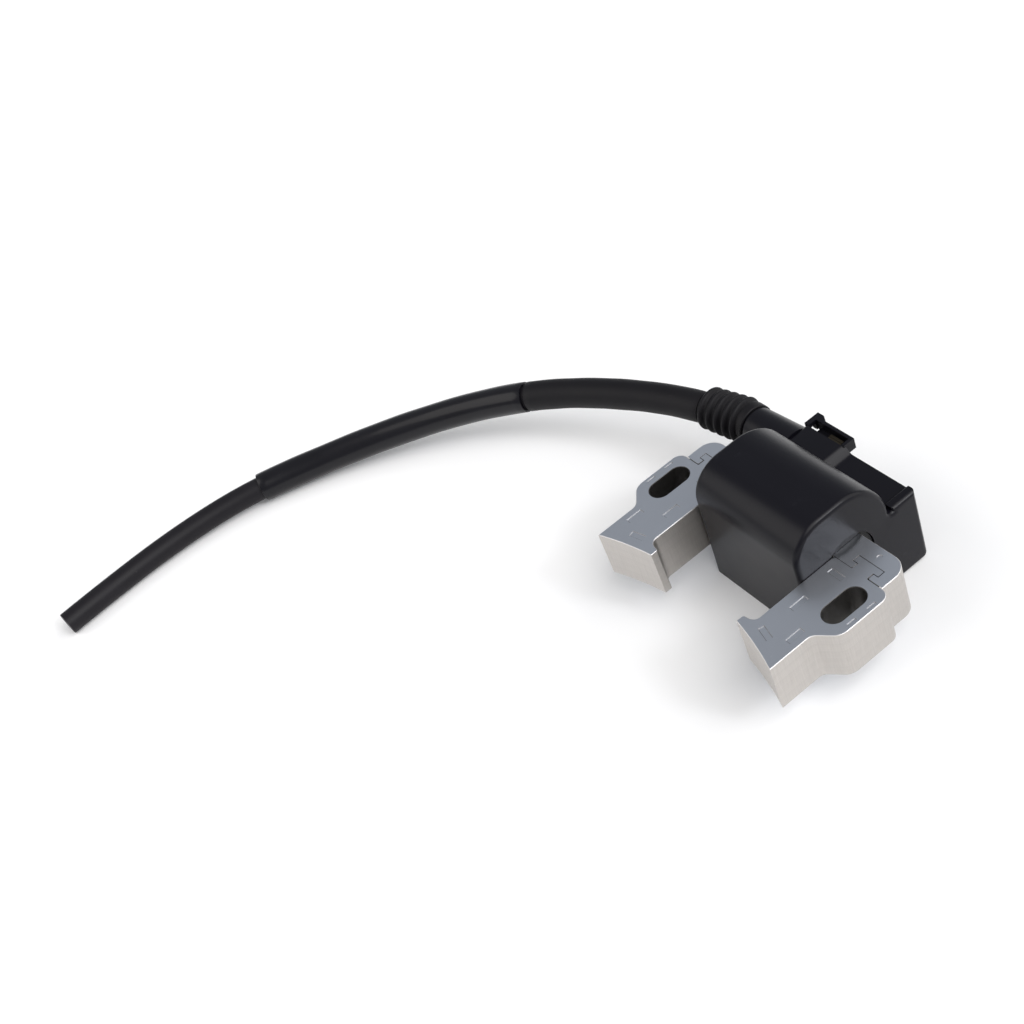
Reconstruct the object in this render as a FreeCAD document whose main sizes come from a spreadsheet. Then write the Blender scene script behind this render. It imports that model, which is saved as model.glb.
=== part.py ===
"""Ignition coil for a small engine, as separate pieces.

The coil stands on the flat base of its case.  X runs along the core bar, from the lead's side
to the closed end; +Y points from the pole tips, which face the flywheel, to the module box; Z
runs along the mounting bolts.  Every sub-part is drawn about the line through the two slots
(y = 0) and the base of the case (z = 0), and its Placement then moves it back so that the
middle of the whole coil's depth lies on the origin.
"""
import FreeCAD, Part
import math
import os

import Sketcher

DOC = FreeCAD.newDocument("ignition_coil")
SHEET = DOC.addObject("Spreadsheet::Sheet", "sizes")


class Size:
    """A length that knows its value and the sheet expression that gives it."""

    def __init__(self, value, text):
        self.value = value
        self.text = text

    def _with(self, other, sign, value):
        other_text = other.text if isinstance(other, Size) else "(%.6g)" % other
        return Size(value, "(%s %s %s)" % (self.text, sign, other_text))

    def __add__(self, other):
        return self._with(other, "+", self.value + number(other))

    def __sub__(self, other):
        return self._with(other, "-", self.value - number(other))

    def __mul__(self, other):
        return self._with(other, "*", self.value * number(other))

    def __truediv__(self, other):
        return self._with(other, "/", self.value / number(other))

    def __rmul__(self, other):
        return self * other

    def __neg__(self):
        return self * -1

    def root(self):
        """The square root."""
        return Size(math.sqrt(self.value), "sqrt(%s)" % self.text)


def number(size):
    """The plain number behind a Size, or the number itself."""
    return size.value if isinstance(size, Size) else float(size)


def dimension(alias, value):
    """Write one driving dimension into the sheet and return it as a Size."""
    dimension.row += 1
    SHEET.set("A%d" % dimension.row, alias)
    SHEET.set("B%d" % dimension.row, "%g" % value)
    SHEET.setAlias("B%d" % dimension.row, alias)
    return Size(float(value), "sizes." + alias)


dimension.row = 0

# Laminated core: two legs and the bar that joins them.
slot_spacing = dimension("slot_spacing", 68)
slot_width = dimension("slot_width", 6.4)
slot_length = dimension("slot_length", 12.8)
stack_thick = dimension("stack_thick", 15.4)
stack_base = dimension("stack_base", 9.7)
leg_gap = dimension("leg_gap", 0.05)
leg_inset = dimension("leg_inset", 0.7)
pole_reach = dimension("pole_reach", 24.7)
pole_radius = dimension("pole_radius", 102)
lip_length = dimension("lip_length", 3.65)
lip_thick = dimension("lip_thick", 2.268)
ear_reach = dimension("ear_reach", 6.4)
ear_front = dimension("ear_front", 6.9)
ear_shoulder = dimension("ear_shoulder", 11.4)
ear_front_round = dimension("ear_front_round", 4.5)
ear_back_round = dimension("ear_back_round", 2.8)
waist_round = dimension("waist_round", 3)
seam_back = dimension("seam_back", 9.2)
bar_width = dimension("bar_width", 9.25)
bar_overhang = dimension("bar_overhang", 3.4)
bar_corner = dimension("bar_corner", 4.7)
lock_inset = dimension("lock_inset", 4.2)
neck_width = dimension("neck_width", 5.3)
neck_length = dimension("neck_length", 2.1)
head_width = dimension("head_width", 8.4)
head_length = dimension("head_length", 1.9)
lock_gap = dimension("lock_gap", 0.06)
lock_round = dimension("lock_round", 0.6)
burr = dimension("burr", 0.15)
dent_depth = dimension("dent_depth", 0.22)
dent_slope = 40
dimple_radius = dimension("dimple_radius", 0.8)

# Case: the barrel over the windings, the module box behind it, the plateau and the tower.
case_length = dimension("case_length", 41.5)
case_draft = dimension("case_draft", 2.3)
case_wall = dimension("case_wall", 1.8)
case_rim = dimension("case_rim", 1.5)
barrel_front = dimension("barrel_front", 2)
barrel_margin = dimension("barrel_margin", 20.95)
barrel_cover = dimension("barrel_cover", 14.4)
barrel_front_round = dimension("barrel_front_round", 10)
barrel_rear_round = dimension("barrel_rear_round", 14)
box_depth = dimension("box_depth", 9.2)
box_drop = dimension("box_drop", 1.6)
box_round = dimension("box_round", 1.8)
window_margin = dimension("window_margin", 6.55)
window_cover = dimension("window_cover", 4.8)
plateau_rise = dimension("plateau_rise", 2.3)
plateau_length = dimension("plateau_length", 15.4)
plateau_slope = dimension("plateau_slope", 2.7)
end_lip_rise = dimension("end_lip_rise", 1.2)
end_lip_width = dimension("end_lip_width", 3)
end_lip_gap = dimension("end_lip_gap", 1.2)
crease_round = dimension("crease_round", 1)
plug_gap = dimension("plug_gap", 0.2)
plug_recess = dimension("plug_recess", 0.5)
tower_offset = dimension("tower_offset", 3.7)
tower_lift = dimension("tower_lift", 2.5)
tower_wall = dimension("tower_wall", 1.2)
tower_taper = dimension("tower_taper", 3.6)
tower_length = dimension("tower_length", 15)
tower_sink = dimension("tower_sink", 0.3)
tower_mouth_round = dimension("tower_mouth_round", 0.9)
tower_bore_gap = dimension("tower_bore_gap", 0.5)
resin_recess = dimension("resin_recess", 1)
fill_gap = dimension("fill_gap", 0.05)

# Connector shroud on the back of the plateau, and the stop-switch terminal in it.
shroud_length = dimension("shroud_length", 15.2)
shroud_depth = dimension("shroud_depth", 3.2)
shroud_drop = dimension("shroud_drop", 3.5)
shroud_wall = dimension("shroud_wall", 1)
shroud_bulge = dimension("shroud_bulge", 1.25)
blade_width = dimension("blade_width", 4.8)
blade_thick = dimension("blade_thick", 0.8)
blade_gap = dimension("blade_gap", 0.04)
blade_drop = dimension("blade_drop", 1.6)

# Windings and bobbins, built outwards from the bar.
coil_margin = dimension("coil_margin", 9.5)
bobbin_gap = dimension("bobbin_gap", 0.15)
bobbin_wall = dimension("bobbin_wall", 0.9)
bobbin_overrun = dimension("bobbin_overrun", 0.95)
primary_build = dimension("primary_build", 1.2)
tape_build = dimension("tape_build", 0.25)
layer_gap = dimension("layer_gap", 0.03)
secondary_build = dimension("secondary_build", 1.7)
flange_thick = dimension("flange_thick", 0.9)
flange_margin = dimension("flange_margin", 0.6)
section_count = 6

# Ignition module.
board_overhang = dimension("board_overhang", 1)
board_cover = dimension("board_cover", 4)
board_thick = dimension("board_thick", 1)
board_offset = dimension("board_offset", 4.8)
board_base = dimension("board_base", 4.5)
strap_offset = dimension("strap_offset", 0.35)
strap_width = dimension("strap_width", 4)
strap_thick = dimension("strap_thick", 0.4)
transistor_inset = dimension("transistor_inset", 2.5)
transistor_width = dimension("transistor_width", 10.2)
transistor_depth = dimension("transistor_depth", 4.4)
transistor_base = dimension("transistor_base", 1)
transistor_height = dimension("transistor_height", 9)
tab_thick = dimension("tab_thick", 1.3)
tab_height = dimension("tab_height", 5)
tab_lap = dimension("tab_lap", 0.5)
tab_hole_radius = dimension("tab_hole_radius", 1.8)
tab_hole_rise = dimension("tab_hole_rise", 12.3)
driver_x = dimension("driver_x", 1.5)
driver_radius = dimension("driver_radius", 2.3)
driver_stand = dimension("driver_stand", 1.6)
driver_base = dimension("driver_base", 8)
driver_height = dimension("driver_height", 4.6)
capacitor_inset = dimension("capacitor_inset", 2.5)
capacitor_width = dimension("capacitor_width", 8)
capacitor_depth = dimension("capacitor_depth", 4.5)
capacitor_base = dimension("capacitor_base", 7.5)
capacitor_height = dimension("capacitor_height", 6.5)
capacitor_round = dimension("capacitor_round", 0.8)
resistor_count = 3
resistor_radius = dimension("resistor_radius", 1.15)
resistor_length = dimension("resistor_length", 6.2)
resistor_stand = dimension("resistor_stand", 1.25)
resistor_start = dimension("resistor_start", 0.5)
resistor_base = dimension("resistor_base", 2.2)
resistor_step = dimension("resistor_step", 7.6)
resistor_row = dimension("resistor_row", 2.9)
diode_radius = dimension("diode_radius", 1.2)
diode_length = dimension("diode_length", 4.8)
diode_stand = dimension("diode_stand", 1.35)
terminal_stand = dimension("terminal_stand", 0.9)
terminal_tail = dimension("terminal_tail", 5)
hookup_radius = dimension("hookup_radius", 0.3)
wire_stand = dimension("wire_stand", 0.6)
hookup_pitch = dimension("hookup_pitch", 4)
hookup_gap = dimension("hookup_gap", 1.3)
end_touch = dimension("end_touch", 0.1)
pin_radius = dimension("pin_radius", 1.1)
pin_inset = dimension("pin_inset", 3.3)
pin_point_length = dimension("pin_point_length", 1.6)
pin_root_inset = dimension("pin_root_inset", 3.75)
link_radius = dimension("link_radius", 0.35)
link_gap = dimension("link_gap", 0.5)
link_stand = dimension("link_stand", 1.15)

# Ignition lead with its boot and sleeves.
lead_diameter = dimension("lead_diameter", 7.6)
conductor_diameter = dimension("conductor_diameter", 1.8)
conductor_gap = dimension("conductor_gap", 0.1)
sleeve_gap = dimension("sleeve_gap", 0.1)
rubber_sleeve_wall = dimension("rubber_sleeve_wall", 0.7)
vinyl_sleeve_wall = dimension("vinyl_sleeve_wall", 0.85)
boot_ribs = 5
boot_pitch = dimension("boot_pitch", 2.95)
boot_bore_gap = dimension("boot_bore_gap", 0.5)
boot_growth = dimension("boot_growth", 0.12)
boot_stand = dimension("boot_stand", 1.3)
boot_seat_gap = dimension("boot_seat_gap", 0.05)
boot_seat_length = dimension("boot_seat_length", 2.2)
boot_seat_step = dimension("boot_seat_step", 0.4)
boot_collar_wall = dimension("boot_collar_wall", 1.6)
boot_wall_slope = dimension("boot_wall_slope", 0.4)
boot_groove_floor = dimension("boot_groove_floor", 0.6)
boot_groove_lead = dimension("boot_groove_lead", 0.3)
boot_rib_height = dimension("boot_rib_height", 1.2)
boot_groove_wall = dimension("boot_groove_wall", 0.8)
boot_collar = dimension("boot_collar", 1.6)
boot_turn = 11.6

SHEET.recompute()

# Places that several pieces share.
slot_x = slot_spacing / 2
leg_outer = slot_x + leg_inset
ear_x = slot_x + ear_reach
stack_top = stack_base + stack_thick
bar_back = seam_back + bar_width
bar_middle = seam_back + bar_width / 2
stack_middle = stack_base + stack_thick / 2
bar_end = slot_x + bar_overhang
lock_x = slot_x - lock_inset
head_front = seam_back + neck_length
head_back = head_front + head_length
case_end = case_length / 2
leg_inner = case_end + leg_gap
lip_edge = leg_inner - lip_length
pole_drop = (pole_radius * pole_radius - leg_outer * leg_outer).root()
lip_back = (pole_radius * pole_radius - lip_edge * lip_edge).root() - pole_drop + lip_thick
barrel_depth = bar_width + barrel_margin
barrel_height = stack_top + barrel_cover
box_height = stack_top - box_drop
window_width = bar_width + window_margin
window_height = stack_thick + window_cover
coil_length = case_length - coil_margin
board_length = coil_length + board_overhang
board_height = box_height - board_base - board_cover
transistor_start = board_length / 2 - transistor_inset
capacitor_start = board_length / 2 - capacitor_width - capacitor_inset
lead_bore = lead_diameter / 2 + boot_bore_gap
boot_groove_radius = lead_bore + boot_groove_wall
boot_rib_radius = boot_groove_radius + boot_rib_height
boot_collar_radius = lead_bore + boot_collar_wall
tower_bore = lead_diameter / 2 + tower_bore_gap
tower_radius = tower_bore + tower_wall
tower_height = stack_middle + tower_lift
barrel_back = barrel_depth - barrel_front
tower_back = barrel_back + tower_offset
board_back = barrel_back + board_offset
box_back = barrel_back + box_depth
box_inner = barrel_back - case_wall
plateau_top = box_height + plateau_rise
shroud_back = box_back + shroud_depth + shroud_bulge
tower_mouth = case_end + tower_length
pin_root = case_end - pin_root_inset
coil_end = coil_length / 2
depth_middle = (shroud_back - pole_reach) / 2
cavity_start = case_draft - case_end + case_wall * 0.8
cavity_length = case_end - case_wall - cavity_start
blade_x = shroud_length - case_end - 4
blade_foot = plateau_top - shroud_drop + 0.94
tail_front = board_back + board_thick + 0.06
wire_x = -coil_end - wire_stand


def bind(thing, **sizes):
    """Set properties of an object from Sizes, through the sheet where they have one."""
    for name, size in sizes.items():
        setattr(thing, name, number(size))
        if isinstance(size, Size):
            thing.setExpression(name, size.text)


def settle(label, thing):
    """Name a finished sub-part and move it back by half the coil's depth."""
    thing.Label = label
    thing.setExpression("Placement.Base.y", (-depth_middle).text)
    SUBPARTS.append(thing)
    return thing


SUBPARTS = []


def new_body(name):
    """An empty body for one sub-part."""
    return DOC.addObject("PartDesign::Body", name + "_body")


def sketch_on(body, plane, offset=0.0):
    """A sketch on one of the body's own origin planes, moved along the plane's normal."""
    sketch = body.newObject("Sketcher::SketchObject", body.Name + "_sketch")
    support = next(item for item in body.Origin.OriginFeatures if item.Role == plane)
    sketch.AttachmentSupport = [(support, "")]
    sketch.MapMode = "FlatFace"
    sketch.AttachmentOffset = FreeCAD.Placement(FreeCAD.Vector(0, 0, number(offset)), FreeCAD.Rotation())
    if isinstance(offset, Size):
        sketch.setExpression("AttachmentOffset.Base.z", offset.text)
    return sketch


def fix(sketch, kind, *places, size):
    """Add a dimension to a sketch and tie it to the sheet."""
    index = sketch.addConstraint(Sketcher.Constraint(kind, *places, number(size)))
    if isinstance(size, Size):
        sketch.setExpression("Constraints[%d]" % index, size.text)


def fix_point(sketch, line, end, x, y):
    """Hold one end of an edge, or a circle's centre, at x, y from the sketch's origin."""
    fix(sketch, "DistanceX", -1, 1, line, end, size=x)
    fix(sketch, "DistanceY", -1, 1, line, end, size=y)


def draw_polygon(sketch, corners):
    """A closed outline of straight edges through the corners."""
    points = [FreeCAD.Vector(number(x), number(y), 0) for x, y in corners]
    first = sketch.GeometryCount
    count = len(points)
    for index in range(count):
        sketch.addGeometry(Part.LineSegment(points[index], points[(index + 1) % count]), False)
    for index in range(count):
        after = first + (index + 1) % count
        sketch.addConstraint(Sketcher.Constraint("Coincident", first + index, 2, after, 1))
    for index, (x, y) in enumerate(corners):
        fix_point(sketch, first + index, 1, x, y)


def draw_box(sketch, low_x, low_y, high_x, high_y):
    """A rectangle between two corners."""
    draw_polygon(sketch, [(low_x, low_y), (high_x, low_y), (high_x, high_y), (low_x, high_y)])


def draw_circle(sketch, x, y, radius):
    """A circle held at x, y."""
    centre = FreeCAD.Vector(number(x), number(y), 0)
    line = sketch.addGeometry(Part.Circle(centre, FreeCAD.Vector(0, 0, 1), number(radius)), False)
    fix_point(sketch, line, 3, x, y)
    fix(sketch, "Radius", line, size=radius)


def pad(body, sketch, length, back=False):
    """Raise a sketch along its normal, or against it."""
    feature = body.newObject("PartDesign::Pad", body.Name + "_pad")
    feature.Profile = sketch
    feature.Reversed = back
    bind(feature, Length=length)
    DOC.recompute()
    return feature


def pocket(body, sketch, length=None, back=False):
    """Cut a sketch into the body, against its normal, or along it, or all the way both ways."""
    volume = body.Shape.Volume
    feature = body.newObject("PartDesign::Pocket", body.Name + "_pocket")
    feature.Profile = sketch
    feature.Reversed = back
    if length is None:
        feature.Type = "ThroughAll"
        feature.SideType = "Symmetric"
    else:
        bind(feature, Length=length)
    DOC.recompute()
    if body.Shape.Volume > volume - 1e-4:
        raise ValueError("%s cuts nothing" % feature.Name)
    return feature


def edges_where(feature, test):
    """Names of the feature's edges whose middle and direction pass the test."""
    names = []
    for index, edge in enumerate(feature.Shape.Edges, 1):
        low, high = edge.ParameterRange
        middle = edge.valueAt((low + high) / 2)
        direction = edge.tangentAt((low + high) / 2)
        if test(edge, middle, direction):
            names.append("Edge%d" % index)
    if not names:
        raise ValueError("no edge found on %s" % feature.Name)
    return names


def soften(body, kind, test, size):
    """Fillet or chamfer the edges of the body's last feature that pass the test."""
    base = body.Tip
    names = edges_where(base, test)
    feature = body.newObject("PartDesign::" + kind, body.Name + "_" + kind.lower())
    feature.Base = (base, names)
    bind(feature, **{"Radius" if kind == "Fillet" else "Size": size})
    DOC.recompute()
    return feature


def upright_at(places, reach=0.05):
    """A test for straight Z edges that stand at one of the places."""
    spots = [(number(x), number(y)) for x, y in places]

    def test(edge, middle, direction):
        near = any(math.hypot(middle.x - x, middle.y - y) < reach for x, y in spots)
        return abs(direction.z) > 0.999 and near

    return test


def along_x_at(places, reach=0.05):
    """A test for edges along X at one of the y, z places."""
    spots = [(number(y), number(z)) for y, z in places]

    def test(edge, middle, direction):
        near = any(math.hypot(middle.y - y, middle.z - z) < reach for y, z in spots)
        return abs(direction.x) > 0.999 and near

    return test


# ---------------------------------------------------------------------------------------------
# Laminated core


def lock_outline(side, gap, overrun):
    """Outline of the T tongue, grown by gap on every side that meets the bar."""
    neck = neck_width / 2 + gap
    head = head_width / 2 + gap
    front = head_front - gap
    back = head_back + gap
    start = seam_back - overrun
    half = [(neck, start), (neck, front), (head, front), (head, back)]
    right = [((lock_x + across) * side, along) for across, along in half]
    left = [((lock_x - across) * side, along) for across, along in reversed(half)]
    return right + left


def pole_face(body, top):
    """Hollow the pole faces to the flywheel's curve."""
    sketch = sketch_on(body, "XY_Plane", top)
    draw_circle(sketch, 0.0, -pole_reach - pole_drop, pole_radius)
    pocket(body, sketch)


def make_leg(side):
    """One pole leg: pole tip with its lip, waist, slotted ear and the T tongue into the bar."""
    body = new_body("leg")
    outline = sketch_on(body, "XY_Plane", stack_base)
    front = -pole_reach - 1
    corners = [
        (lip_edge * side, front), (leg_outer * side, front),
        (leg_outer * side, -ear_shoulder), (ear_x * side, -ear_front),
        (ear_x * side, seam_back), (leg_inner * side, seam_back),
        (leg_inner * side, -pole_reach + lip_back + 0.6), (lip_edge * side, -pole_reach + lip_back),
    ]
    draw_polygon(outline, corners)
    pad(body, outline, stack_thick)
    tongue = sketch_on(body, "XY_Plane", stack_base)
    draw_polygon(tongue, lock_outline(side, 0.0, 0.5))
    pad(body, tongue, stack_thick)
    pole_face(body, stack_top)
    soften(body, "Fillet", upright_at([corners[2]]), waist_round)
    soften(body, "Fillet", upright_at([corners[3]]), ear_front_round)
    soften(body, "Fillet", upright_at([corners[4]]), ear_back_round)
    soften(body, "Fillet", upright_at([corners[6]]), lip_length * 0.6)
    soften(body, "Fillet", upright_at([corners[7]]), lock_round)
    neck_corners = [((lock_x + neck_width / 2 * way) * side, seam_back) for way in (-1, 1)]
    soften(body, "Fillet", upright_at(neck_corners), lock_round / 2)
    cut_slot(body, side)
    break_burrs(body, lambda middle: middle.y < number(seam_back) - 0.05)
    for dent in leg_dents(side):
        press_dent(body, *dent)
    return body


def cut_slot(body, side):
    """The mounting slot: long along Y, with full round ends."""
    sketch = sketch_on(body, "XY_Plane", stack_top)
    half = slot_width / 2
    run = (slot_length - slot_width) / 2
    draw_box(sketch, slot_x * side - half, -run, slot_x * side + half, run)
    pocket(body, sketch)
    for way in (-1, 1):
        ends = sketch_on(body, "XY_Plane", stack_top)
        draw_circle(ends, slot_x * side, run * way, half)
        pocket(body, ends)


def break_burrs(body, wanted=lambda middle: True):
    """A small chamfer round both faces of a stamped stack, where wanted."""
    faces = (number(stack_base), number(stack_top))

    def on_a_face(edge, middle, direction):
        flat = any(abs(middle.z - face) < 1e-4 for face in faces) and abs(direction.z) < 0.01
        return flat and wanted(middle)

    soften(body, "Chamfer", on_a_face, burr)


def leg_dents(side):
    """Interlock dents: x, y, size across, size along and turn in degrees."""
    tip_turn = -side * math.degrees(math.asin(number(leg_inner + 4.8) / number(pole_radius)))
    return [
        ((leg_inner + 4.7) * side, seam_back - 3.7, 4.7, 1.8, 0.0),
        ((leg_inner + 4.3) * side, -pole_reach + 18.2, 1.8, 5.0, 0.0),
        ((leg_inner + 4.8) * side, -pole_reach + 6.7, 4.6, 1.9, tip_turn),
        ((leg_outer - 2.9) * side, -pole_reach + 10.8, 1.8, 5.0, 0.0),
        ((ear_x - 1.3) * side, -2.4, 0.8, 2.7, 0.0),
        ((ear_x - 1.2) * side, 4.0, 0.8, 2.7, 0.0),
    ]


def press_dent(body, x, y, across, along, turn):
    """One shallow rectangular interlock dent in the top face."""
    sketch = sketch_on(body, "XY_Plane", stack_top)
    cosine = math.cos(math.radians(turn))
    sine = math.sin(math.radians(turn))
    signs = [(-1, -1), (1, -1), (1, 1), (-1, 1)]
    corners = []
    for way_x, way_y in signs:
        step_x = way_x * across / 2
        step_y = way_y * along / 2
        corners.append((x + (step_x * cosine - step_y * sine), y + (step_x * sine + step_y * cosine)))
    draw_polygon(sketch, corners)
    feature = pocket(body, sketch, dent_depth)
    feature.TaperAngle = -dent_slope
    DOC.recompute()


def make_core_bar():
    """The bar through the windings, with a T slot at each end for the legs."""
    body = new_body("core_bar")
    outline = sketch_on(body, "XY_Plane", stack_base)
    draw_box(outline, -bar_end, seam_back, bar_end, bar_back)
    pad(body, outline, stack_thick)
    for side in (-1, 1):
        slot = sketch_on(body, "XY_Plane", stack_top)
        draw_polygon(slot, lock_outline(side, lock_gap, 1.0))
        pocket(body, slot)
    soften(body, "Fillet", upright_at([(bar_end, bar_back), (-bar_end, bar_back)]), bar_corner)
    hooks = [(lock_x + way * neck_width / 2) * side for side in (-1, 1) for way in (-1, 1)]

    def at_hook(edge, middle, direction):
        at_seam = abs(middle.y - number(seam_back)) < 0.01
        near = any(abs(middle.x - number(hook)) < 0.1 for hook in hooks)
        return abs(direction.z) > 0.999 and at_seam and near

    soften(body, "Fillet", at_hook, lock_round)
    break_burrs(body)
    for side in (-1, 1):
        dimple = sketch_on(body, "XY_Plane", stack_top)
        draw_circle(dimple, lock_x * side, bar_back - 2.5, dimple_radius)
        pocket(body, dimple, dent_depth)
    return body


# ---------------------------------------------------------------------------------------------
# Windings: rounded rectangular sleeves round the bar, each one inside the next


def ring_profile(body, start, half_y, half_z):
    """A rectangle round the bar's axis, on a plane across X."""
    sketch = sketch_on(body, "YZ_Plane", start)
    draw_box(sketch, bar_middle - half_y, stack_middle - half_z, bar_middle + half_y, stack_middle + half_z)
    return sketch


def corner_test(half_y, half_z):
    """The four X edges of a rectangular sleeve."""
    return along_x_at([
        (bar_middle + half_y * way_y, stack_middle + half_z * way_z)
        for way_y in (-1, 1) for way_z in (-1, 1)
    ])


def sleeve_layer(name, start, length, clearance, build, round_to):
    """A rectangular sleeve round the bar: clearance from the bar's faces, then its build."""
    body = new_body(name)
    inner_y = bar_width / 2 + clearance
    inner_z = stack_thick / 2 + clearance
    outer_y = inner_y + build
    outer_z = inner_z + build
    pad(body, ring_profile(body, start, outer_y, outer_z), length)
    if round_to is not None:
        soften(body, "Fillet", corner_test(outer_y, outer_z), round_to)
    bore = ring_profile(body, start, inner_y, inner_z)
    pocket(body, bore, length, back=True)
    return body


def flange_plates(body, places, thickness, clearance, height):
    """Flat collars on a bobbin, at the given X places."""
    for place in places:
        plate = ring_profile(
            body, place, bar_width / 2 + clearance + height, stack_thick / 2 + clearance + height)
        draw_box(
            plate, bar_middle - bar_width / 2 - clearance, stack_middle - stack_thick / 2 - clearance,
            bar_middle + bar_width / 2 + clearance, stack_middle + stack_thick / 2 + clearance)
        pad(body, plate, thickness)


primary_clear = bobbin_gap + bobbin_wall + layer_gap
tape_clear = primary_clear + primary_build + layer_gap
secondary_clear = tape_clear + tape_build + layer_gap
winding_clear = secondary_clear + bobbin_wall + layer_gap
pack_clear = winding_clear + secondary_build + flange_margin


def make_primary_bobbin():
    """Tube on the bar: a collar at each end of the winding and a plug in each case window."""
    overall = coil_length + bobbin_overrun * 2
    body = sleeve_layer("primary_bobbin", -coil_end - bobbin_overrun, overall, bobbin_gap, bobbin_wall, None)
    collar = primary_build + tape_build + layer_gap
    places = [-coil_end, coil_end - flange_thick]
    flange_plates(body, places, flange_thick, bobbin_gap + bobbin_wall - 0.05, collar)
    right_start = coil_end + bobbin_overrun
    add_plug(body, right_start, case_end - plug_recess - right_start)
    left_end = case_draft - case_end - plug_recess
    add_plug(body, left_end, -coil_end - bobbin_overrun - left_end)
    notch = sketch_on(body, "YZ_Plane", coil_end + strap_offset - 0.05)
    half = strap_width / 2 + 0.1
    draw_box(notch, bar_back - 0.1, stack_middle - half, bar_back + 2, stack_middle + half)
    pocket(body, notch, strap_thick + 0.1, back=True)
    return body


def add_plug(body, start, length):
    """A round-ended plug round the bar, which fills a window of the case."""
    half = window_width / 2 - plug_gap
    run = (window_height - window_width) / 2
    slab = sketch_on(body, "YZ_Plane", start)
    draw_box(slab, bar_middle - half, stack_middle - run, bar_middle + half, stack_middle + run)
    pad(body, slab, length)
    for way in (-1, 1):
        ends = sketch_on(body, "YZ_Plane", start)
        draw_circle(ends, bar_middle, stack_middle + run * way, half)
        pad(body, ends, length)
    hole = ring_profile(body, start - 0.1, bar_width / 2 + bobbin_gap, stack_thick / 2 + bobbin_gap)
    pocket(body, hole, length + 0.2, back=True)


def make_primary_winding():
    """Heavy-gauge winding between the collars."""
    start = -coil_end + flange_thick + layer_gap
    return sleeve_layer("primary_winding", start, -start * 2, primary_clear, primary_build, primary_build * 0.8)


def make_primary_tape():
    """Insulating wrap over the primary winding."""
    start = -coil_end + flange_thick + layer_gap
    return sleeve_layer("primary_tape", start, -start * 2, tape_clear, tape_build, None)


def make_secondary_bobbin():
    """Tube with thin walls that part the secondary winding into sections."""
    body = sleeve_layer("secondary_bobbin", -coil_end, coil_length, secondary_clear, bobbin_wall, None)
    pitch = (coil_length - flange_thick) / section_count
    places = [pitch * index - coil_end for index in range(section_count + 1)]
    collar = secondary_build + flange_margin
    flange_plates(body, places, flange_thick, secondary_clear + bobbin_wall - 0.05, collar)
    return body


def make_secondary_winding():
    """Fine-wire sections, one in each bay of the secondary bobbin."""
    pitch = (coil_length - flange_thick) / section_count
    bay = pitch - flange_thick - layer_gap * 2
    sections = []
    for index in range(section_count):
        start = pitch * index + flange_thick + layer_gap - coil_end
        section = sleeve_layer(
            "secondary_section", start, bay, winding_clear, secondary_build, secondary_build * 0.8)
        sections.append(section)
    group = DOC.addObject("Part::Compound", "secondary_winding_group")
    group.Links = sections
    return group


# ---------------------------------------------------------------------------------------------
# Case and its filling


def make_case():
    """Moulded case: barrel, module box, plateau, shroud and lead tower, open at the base."""
    body = new_body("coil_case")
    barrel = sketch_on(body, "YZ_Plane", -case_end)
    draw_box(barrel, -barrel_front, 0.0, barrel_back, barrel_height)
    pad(body, barrel, case_length)
    add_module_box(body)
    add_plateau(body)
    draft = sketch_on(body, "XZ_Plane")
    draw_polygon(draft, [
        (-case_end - 1, 0.0), (-case_end, 0.0), (case_draft - case_end, barrel_height),
        (-case_end - 1, barrel_height)])
    pocket(body, draft)
    soften(body, "Fillet", along_x_at([(-barrel_front, barrel_height)]), barrel_front_round)
    soften(body, "Fillet", along_x_at([(barrel_back, barrel_height)]), barrel_rear_round)
    soften(body, "Fillet", along_x_at([(box_back, 0.0)]), box_round)
    soften_rims(body)
    soften_lip(body)
    add_shroud(body)
    add_tower(body)
    hollow_case(body)
    return body


def add_module_box(body):
    """The lower box behind the barrel, with the small lip at its closed end."""
    box = sketch_on(body, "YZ_Plane", -case_end)
    draw_box(box, barrel_back - 3, 0.0, box_back, box_height)
    pad(body, box, case_length)
    lip = sketch_on(body, "YZ_Plane", case_end - end_lip_width)
    draw_box(lip, barrel_back + end_lip_gap, box_height - 1, box_back, box_height + end_lip_rise)
    pad(body, lip, end_lip_width)


def soften_lip(body):
    """Round the lip where it rises from the box and at its inner top edge."""
    edge = number(case_end - end_lip_width)
    levels = (number(box_height), number(box_height + end_lip_rise))

    def on_lip(edge_item, middle, direction):
        along_y = abs(direction.y) > 0.999 and abs(middle.x - edge) < 0.01
        return along_y and any(abs(middle.z - level) < 0.01 for level in levels)

    soften(body, "Fillet", on_lip, end_lip_rise * 0.45)


def add_plateau(body):
    """The raised deck over the lead's half of the box, sloping down to the box's top."""
    deck = sketch_on(body, "XZ_Plane", -box_back)
    right = plateau_length - case_end
    draw_polygon(deck, [
        (-case_end, box_height - 1), (-case_end, plateau_top), (right, plateau_top),
        (right + plateau_slope, box_height), (right + plateau_slope, box_height - 1)])
    pad(body, deck, box_depth + 1)
    crest = number(right)
    foot = number(right + plateau_slope)

    def on_step(edge, middle, direction):
        at_crest = abs(middle.x - crest) < 0.01 and abs(middle.z - number(plateau_top)) < 0.01
        at_foot = abs(middle.x - foot) < 0.01 and abs(middle.z - number(box_height)) < 0.01
        return abs(direction.y) > 0.999 and (at_crest or at_foot)

    soften(body, "Fillet", on_step, plateau_rise * 0.7)


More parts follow.
